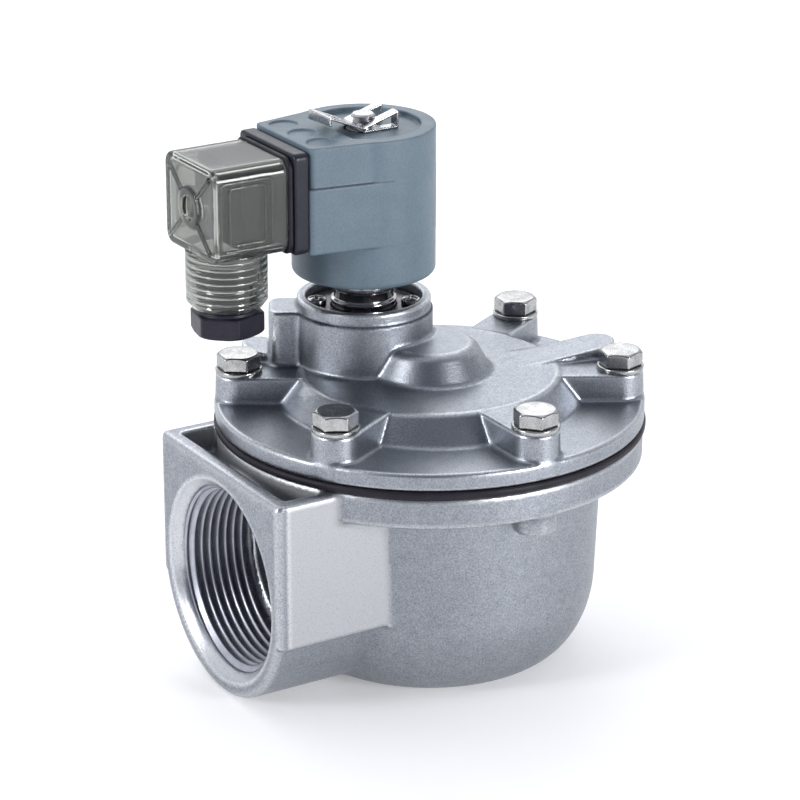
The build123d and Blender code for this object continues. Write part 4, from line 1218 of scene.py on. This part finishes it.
def unit(vectors):
    """Vectors divided by their own lengths."""
    return vectors / np.linalg.norm(vectors, axis=1, keepdims=True)


def bead(path, radius, closed):
    """Round bead along a path in space: path + r (cos a U + sin a V), U across the run and V along x or y."""
    path = np.asarray(path, float)
    ahead = np.roll(path, -1, axis=0) - path if closed else np.gradient(path, axis=0)
    behind = path - np.roll(path, 1, axis=0) if closed else ahead
    up = np.eye(3)[np.ptp(path, axis=0).argmin()]
    across = np.cross(unit(unit(ahead) + unit(behind)), up)
    angle = np.linspace(0, 2 * math.pi, bead_sides, endpoint=False)[None, :, None]
    ring = path[:, None] + radius * (np.cos(angle) * across[:, None] + np.sin(angle) * up)
    faces = grid_faces(len(path), bead_sides, closed, True)
    if not closed:
        faces = np.concatenate([faces, end_caps(len(path), bead_sides)])
    return ring.reshape(-1, 3), faces


def frame_path(start, end, low, high, side):
    """Closed rounded rectangle on the plug's side wall."""
    outline = rounded([(start, low), (end, low), (end, high), (start, high)], 1.4, 6)
    return np.stack([pilot[0] - outline[:, 0], np.full(len(outline), pilot[1] + side), outline[:, 1]], axis=1)


# %% Ribs and frames on the shell
diagonal = np.array([plug_half, plug_top - plug_middle])
diagonal /= np.linalg.norm(diagonal)
rib_start, rib_end = 5.0 * diagonal, np.array([10.6, 9.6])
rib_shift = 0.45
beads = []
for side in (-plug_half, plug_half):
    for before, behind, inset, radius in ((1.8, 4.4, 3.2, 0.38), (4.2, 6.2, 4.6, 0.34)):
        path = frame_path(plug_end - before, plug_start + behind, plug_bottom + inset, plug_top - inset, side)
        beads.append(bead(path, radius, True))
t = np.linspace(0, 1, 10)[:, None]
front = np.full((len(t), 1), pilot[0] - plug_end - 0.02)
for sy, sz in ((-1, -1), (-1, 1), (1, -1), (1, 1)):
    plan = (rib_start * (1 - t) + rib_end * t) * (sy, sz) + (pilot[1], plug_middle)
    across = np.array([-sz * diagonal[1], sy * diagonal[0]])
    for shift in (-rib_shift, rib_shift):
        beads.append(bead(np.hstack([front, plan + shift * across]), 0.36, False))
piece("shell_ribs", *merged(beads), "coil", "clear_smoke", smoke)

# %% [markdown]
# ## The gland nut
# A hexagon with a thin collar above it; the flats are softened and the lower rim is turned off.

# %% The nut's field
nut_turn = math.radians(-11.5)
nut_half, nut_chamfer = 8.3, 8.5
nut_reach = nut_half / math.cos(math.radians(30)) + 0.1
nut_top = nut_low[2] + 6.6
collar_radius, spigot_radius, cable_hole = 7.9, 7.35, 4.4


def nut_field(x, y, z):
    """Hexagon turned off below, a round collar above, a spigot inside the barrel and the cable's hole."""
    lx, ly = x - gland_axis[0], y - gland_axis[1]
    reach = np.hypot(lx, ly)
    block = hexagon(*along_across(lx, ly, nut_turn), nut_half, 0.5)
    block = common(block, slab(z, nut_low[2], nut_top - 1.0), 0.4)
    block = common(block, (reach - nut_chamfer) * 0.6 - (z - nut_low[2]) * 0.8, 0.3)
    collar = drum(reach, z, collar_radius, nut_low[2] + 3, nut_top, 0.3)
    spigot = drum(reach, z, spigot_radius, nut_top - 1, nut_high[2], 0.3)
    form = np.minimum(joined(block, collar, 0.2), spigot)
    return cut(form, reach - cable_hole, 0.4)


points, faces = skin(nut_field, (gland_axis[0] - nut_reach, gland_axis[1] - nut_reach, nut_low[2]),
                     (gland_axis[0] + nut_reach, gland_axis[1] + nut_reach, nut_high[2]), 0.33)
piece("hexagon_gland_nut", points, faces, "coil", "black_plastic", black_plastic, ["gland_nut"])

# %% [markdown]
# ## The springs
# Two springs work out of sight: one presses the rubber's middle down, the small one closes the pilot. Each
# is a round wire carried along a helix that flattens at its ends, as a wound spring's seats do. Each is made
# at its rest length; a rigid copy like this would stick through the plates when they lift.


# %% Wound wire
wire_sides = 10
coil_easing = 0.72


def wound(radius, wire, low, high, turns, centre):
    """Helix (r cos t, r sin t) whose height is s - k sin(2 pi s) / 2 pi of the whole, s the share of turns.

    The wire's ring is r' (cos a) outwards plus r' (sin a) upwards, and k below 1 keeps the end turns apart.
    """
    share = np.linspace(0, 1, int(turns * 48))[:, None]
    eased = share - coil_easing * np.sin(2 * math.pi * share) / (2 * math.pi)
    level = low + wire + (high - low - 2 * wire) * eased
    turn = 2 * math.pi * turns * share
    around = np.linspace(0, 2 * math.pi, wire_sides, endpoint=False)[None, :]
    reach = radius + wire * np.cos(around)
    x = centre[0] + reach * np.cos(turn)
    y = centre[1] + reach * np.sin(turn)
    points = np.stack([x, y, level + wire * np.sin(around)], axis=-1).reshape(-1, 3)
    sides = grid_faces(len(share), wire_sides, False, True)
    return points, np.concatenate([sides, end_caps(len(share), wire_sides)])


# %% Two springs
diaphragm_travel = 8.0
pilot_travel = 1.6
for name, replaced, radius, wire, turns, centre, joint, travel in (
        ("return_spring", "main_spring", 7.6, 0.7, 5, (0, 0), "diaphragm_lift", diaphragm_travel),
        ("pilot_spring", "plunger_spring", 2.0, 0.3, 6, pilot, "pilot_lift", pilot_travel)):
    low, high = span(replaced)
    coils = wound(radius, wire, low[2], high[2], turns, centre)
    spring = piece(name, *coils, "valve", "spring_steel", spring_steel, [replaced])
    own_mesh(spring)
